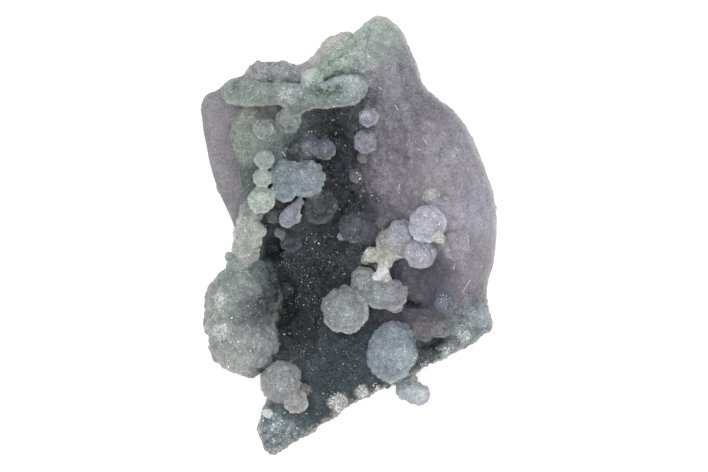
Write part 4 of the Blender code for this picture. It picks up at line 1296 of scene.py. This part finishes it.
class AGATE_OT_grow_sprays(bpy.types.Operator):
    """Grows the sprays of larger quartz prisms and the single blades"""
    bl_idname = "agate.grow_sprays"
    bl_label = "Grow sprays"

    # A prism's width and how deep it sits, as shares of its length; how far the outer ones
    # lean out, and how much their directions vary.
    WIDTHS = (0.25, 0.42)
    SUNK = 0.3
    LEAN = 0.9
    VARIETY = 0.15
    BLADE_RISE = 0.12       # how steeply a blade rises from the skin
    BLADE_SHADE = 0.85      # a blade's tint, next to a prism's

    def execute(self, context):
        rng = np.random.default_rng(settings("druse").seed + 1)
        stone = stone_piece()
        self.middle = Vector((*stone["drawn_middle"], 0.0))
        self.scale = stone["drawn_scale"]
        self.tree = BVHTree.FromObject(stone, bpy.context.evaluated_depsgraph_get())
        crystals = [*self.prisms(rng), *self.blades()]
        places, ways, sizes = (np.array(rows) for rows in zip(*crystals))
        shape = crystal_shape(0.8, 0.2)
        frames = turned_frames(ways, 0.0, rng)
        mesh = copies("quartz_sprays", shape, places, frames, sizes * self.scale)
        milky = np.array(settings("colours").milky)
        tints = milky * rng.uniform(0.62, 1.1, (len(places), 1))
        tints[-len(BLADES):] *= self.BLADE_SHADE
        put_attribute(mesh, "tint", np.repeat(tints, len(shape[0]), axis=0))
        mesh.materials.append(bpy.data.materials["quartz crust"])
        map_from_above(mesh)
        add_piece("quartz_sprays", mesh)
        return {'FINISHED'}

    def skin_under(self, x, y):
        """Where a plumb line through a drawn place meets the skin, and its normal there."""
        start = (Vector((x, y, 0.0)) - self.middle) * self.scale
        spot, normal, _, _ = self.tree.ray_cast(start + Vector((0.0, 0.0, 1.0)), (0.0, 0.0, -1.0))
        return spot, normal

    def prisms(self, rng):
        """Place, direction and size of each prism of the sprays, which lean outwards."""
        for x, y, reach, count, length in SPRAYS:
            for _ in range(count):
                turn = rng.uniform(0.0, math.tau)
                out = reach * math.sqrt(rng.uniform())
                side = Vector((math.cos(turn), math.sin(turn), 0.0)) * out
                spot, normal = self.skin_under(x + side.x, y + side.y)
                if spot is None:
                    continue
                way = normal + self.LEAN * side / reach
                way += Vector(rng.normal(0.0, self.VARIETY, 3))
                tall = length * rng.uniform(0.6, 1.1) * (1.2 - 0.5 * out / reach)
                wide = tall * rng.uniform(*self.WIDTHS)
                foot = spot - self.SUNK * tall * self.scale * way.normalized()
                yield foot, way, (wide, wide, tall)

    def blades(self):
        """Place, direction and size of each single blade, which lies nearly flat."""
        for x, y, heading, length, width in BLADES:
            spot, normal = self.skin_under(x, y)
            angle = math.radians(heading)
            way = Vector((math.cos(angle), math.sin(angle), 0.0))
            way = (way - way.dot(normal) * normal).normalized() + self.BLADE_RISE * normal
            yield spot + normal * 0.15 * width * self.scale, way, (width, width, length)


class AGATE_OT_set_stage(bpy.types.Operator):
    """Sets the pale floor, the soft light and the camera above the stone"""
    bl_idname = "agate.set_stage"
    bl_label = "Set stage"

    # Centre of the picture, as a place on the stone, and the height at which a pixel is true.
    AIM = (1.1 * MM, -0.2 * MM, 9.0 * MM)
    PICTURE_WIDTH = 708     # in pixels
    FLOOR_REACH = 3.0
    FLOOR_GAP = 0.02 * MM   # keeps the floor and the sawn back apart
    # Places of the large soft lights around the stone, and their size.
    SIDES = ((-0.58, 0.12, 0.34), (0.58, 0.08, 0.34), (-0.08, 0.60, 0.36), (0.06, -0.60, 0.36))
    SIDE_SIZE = 0.5
    # Rings of small lights for the glints: number, distance out and height; how far each ring
    # is turned from the last, as a share of a full turn, and the size of a light.
    RINGS = ((5, 0.16, 0.58), (8, 0.30, 0.50), (11, 0.44, 0.38))
    RING_TURN = 0.13
    GLINT_SIZE = 0.022

    def execute(self, context):
        stage = settings("stage")
        self.add_floor()
        self.add_lights(stage)
        self.add_camera(stage)
        context.scene.view_settings.view_transform = 'Standard'
        return {'FINISHED'}

    def add_floor(self):
        """A wide pale floor, level with the resting cut."""
        bm = bmesh.new()
        bmesh.ops.create_grid(bm, x_segments=1, y_segments=1, size=self.FLOOR_REACH)
        mesh = bpy.data.meshes.new("floor")
        bm.to_mesh(mesh)
        bm.free()
        # Frosted acrylic lit from below: a plain pale ground with soft shadows.
        material, _, shader = new_material("lit white acrylic")
        set_shader(shader, Base_Color=(*srgb("#dadada"), 1.0), Roughness=0.9,
                   Emission_Color=(*srgb("#ffffff"), 1.0), Emission_Strength=0.5)
        mesh.materials.append(material)
        floor = bpy.data.objects.new("floor", mesh)
        floor.location.z = -self.FLOOR_GAP
        bpy.context.scene.collection.objects.link(floor)
        floor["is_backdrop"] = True

    def add_light(self, name, place, size, power):
        """A square soft light at a place, facing the stone."""
        data = bpy.data.lights.new(name, 'AREA')
        data.size = size
        data.energy = power
        light = bpy.data.objects.new(name, data)
        light.location = place
        light.rotation_euler = (-Vector(place)).to_track_quat('-Z', 'Y').to_euler()
        bpy.context.scene.collection.objects.link(light)

    def add_lights(self, stage):
        """Soft light from four sides, small lights for the glints, and an even sky."""
        for number, (x, y, z) in enumerate(self.SIDES, 1):
            self.add_light(f"side_{number}", (x, y, z), self.SIDE_SIZE, stage.side_light)
        for ring, (count, out, height) in enumerate(self.RINGS, 1):
            for number in range(count):
                angle = math.tau * (number / count + self.RING_TURN * ring)
                place = (out * math.cos(angle), out * math.sin(angle), height)
                self.add_light(f"glint_{ring}_{number + 1}", place, self.GLINT_SIZE,
                               stage.key_light)
        world = bpy.data.worlds.new("light tent")
        world.use_nodes = True
        sky = world.node_tree.nodes["Background"]
        sky.inputs["Color"].default_value = (*srgb("#ffffff"), 1.0)
        sky.inputs["Strength"].default_value = stage.sky_light
        bpy.context.scene.world = world

    def add_camera(self, stage):
        """A long lens that looks straight down on the specimen."""
        data = bpy.data.cameras.new("camera")
        data.lens = stage.lens
        camera = bpy.data.objects.new("camera", data)
        away = stage.pixel * self.PICTURE_WIDTH * data.lens / data.sensor_width
        camera.location = Vector(self.AIM) + Vector((0.0, 0.0, away))
        bpy.context.scene.collection.objects.link(camera)
        bpy.context.scene.camera = camera


class AGATE_PT_panel(bpy.types.Panel):
    """Lists the steps that build the specimen"""
    bl_idname = "AGATE_PT_panel"
    bl_label = "Grape agate"
    bl_space_type = 'VIEW_3D'
    bl_region_type = 'UI'
    bl_category = "Agate"

    def draw(self, context):
        for operator in OPERATORS:
            self.layout.operator(operator.bl_idname)


GROUPS = {"stone": StoneSettings, "druse": DruseSettings, "colours": ColourSettings,
          "stage": StageSettings}
OPERATORS = (AGATE_OT_grow_stone, AGATE_OT_coat_druse, AGATE_OT_grow_sprays,
             AGATE_OT_set_stage)


def register():
    for name, group in GROUPS.items():
        bpy.utils.register_class(group)
        setattr(bpy.types.Scene, "agate_" + name, PointerProperty(type=group))
    for cls in (*OPERATORS, AGATE_PT_panel):
        bpy.utils.register_class(cls)


def unregister():
    for cls in reversed((*OPERATORS, AGATE_PT_panel)):
        bpy.utils.unregister_class(cls)
    for name, group in reversed(GROUPS.items()):
        delattr(bpy.types.Scene, "agate_" + name)
        bpy.utils.unregister_class(group)


def write_sizes():
    """Gathers the frame's box and the finished model's box; the result is not kept."""
    boxes = {"cad": CAD_BOX, "visual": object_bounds()}
    {name: [list(low), list(high)] for name, (low, high) in boxes.items()}


def main():
    register()
    bpy.ops.agate.grow_stone()
    bpy.ops.agate.coat_druse()
    bpy.ops.agate.grow_sprays()
    bpy.ops.agate.set_stage()
    write_sizes()


if __name__ == "__main__":
    main()
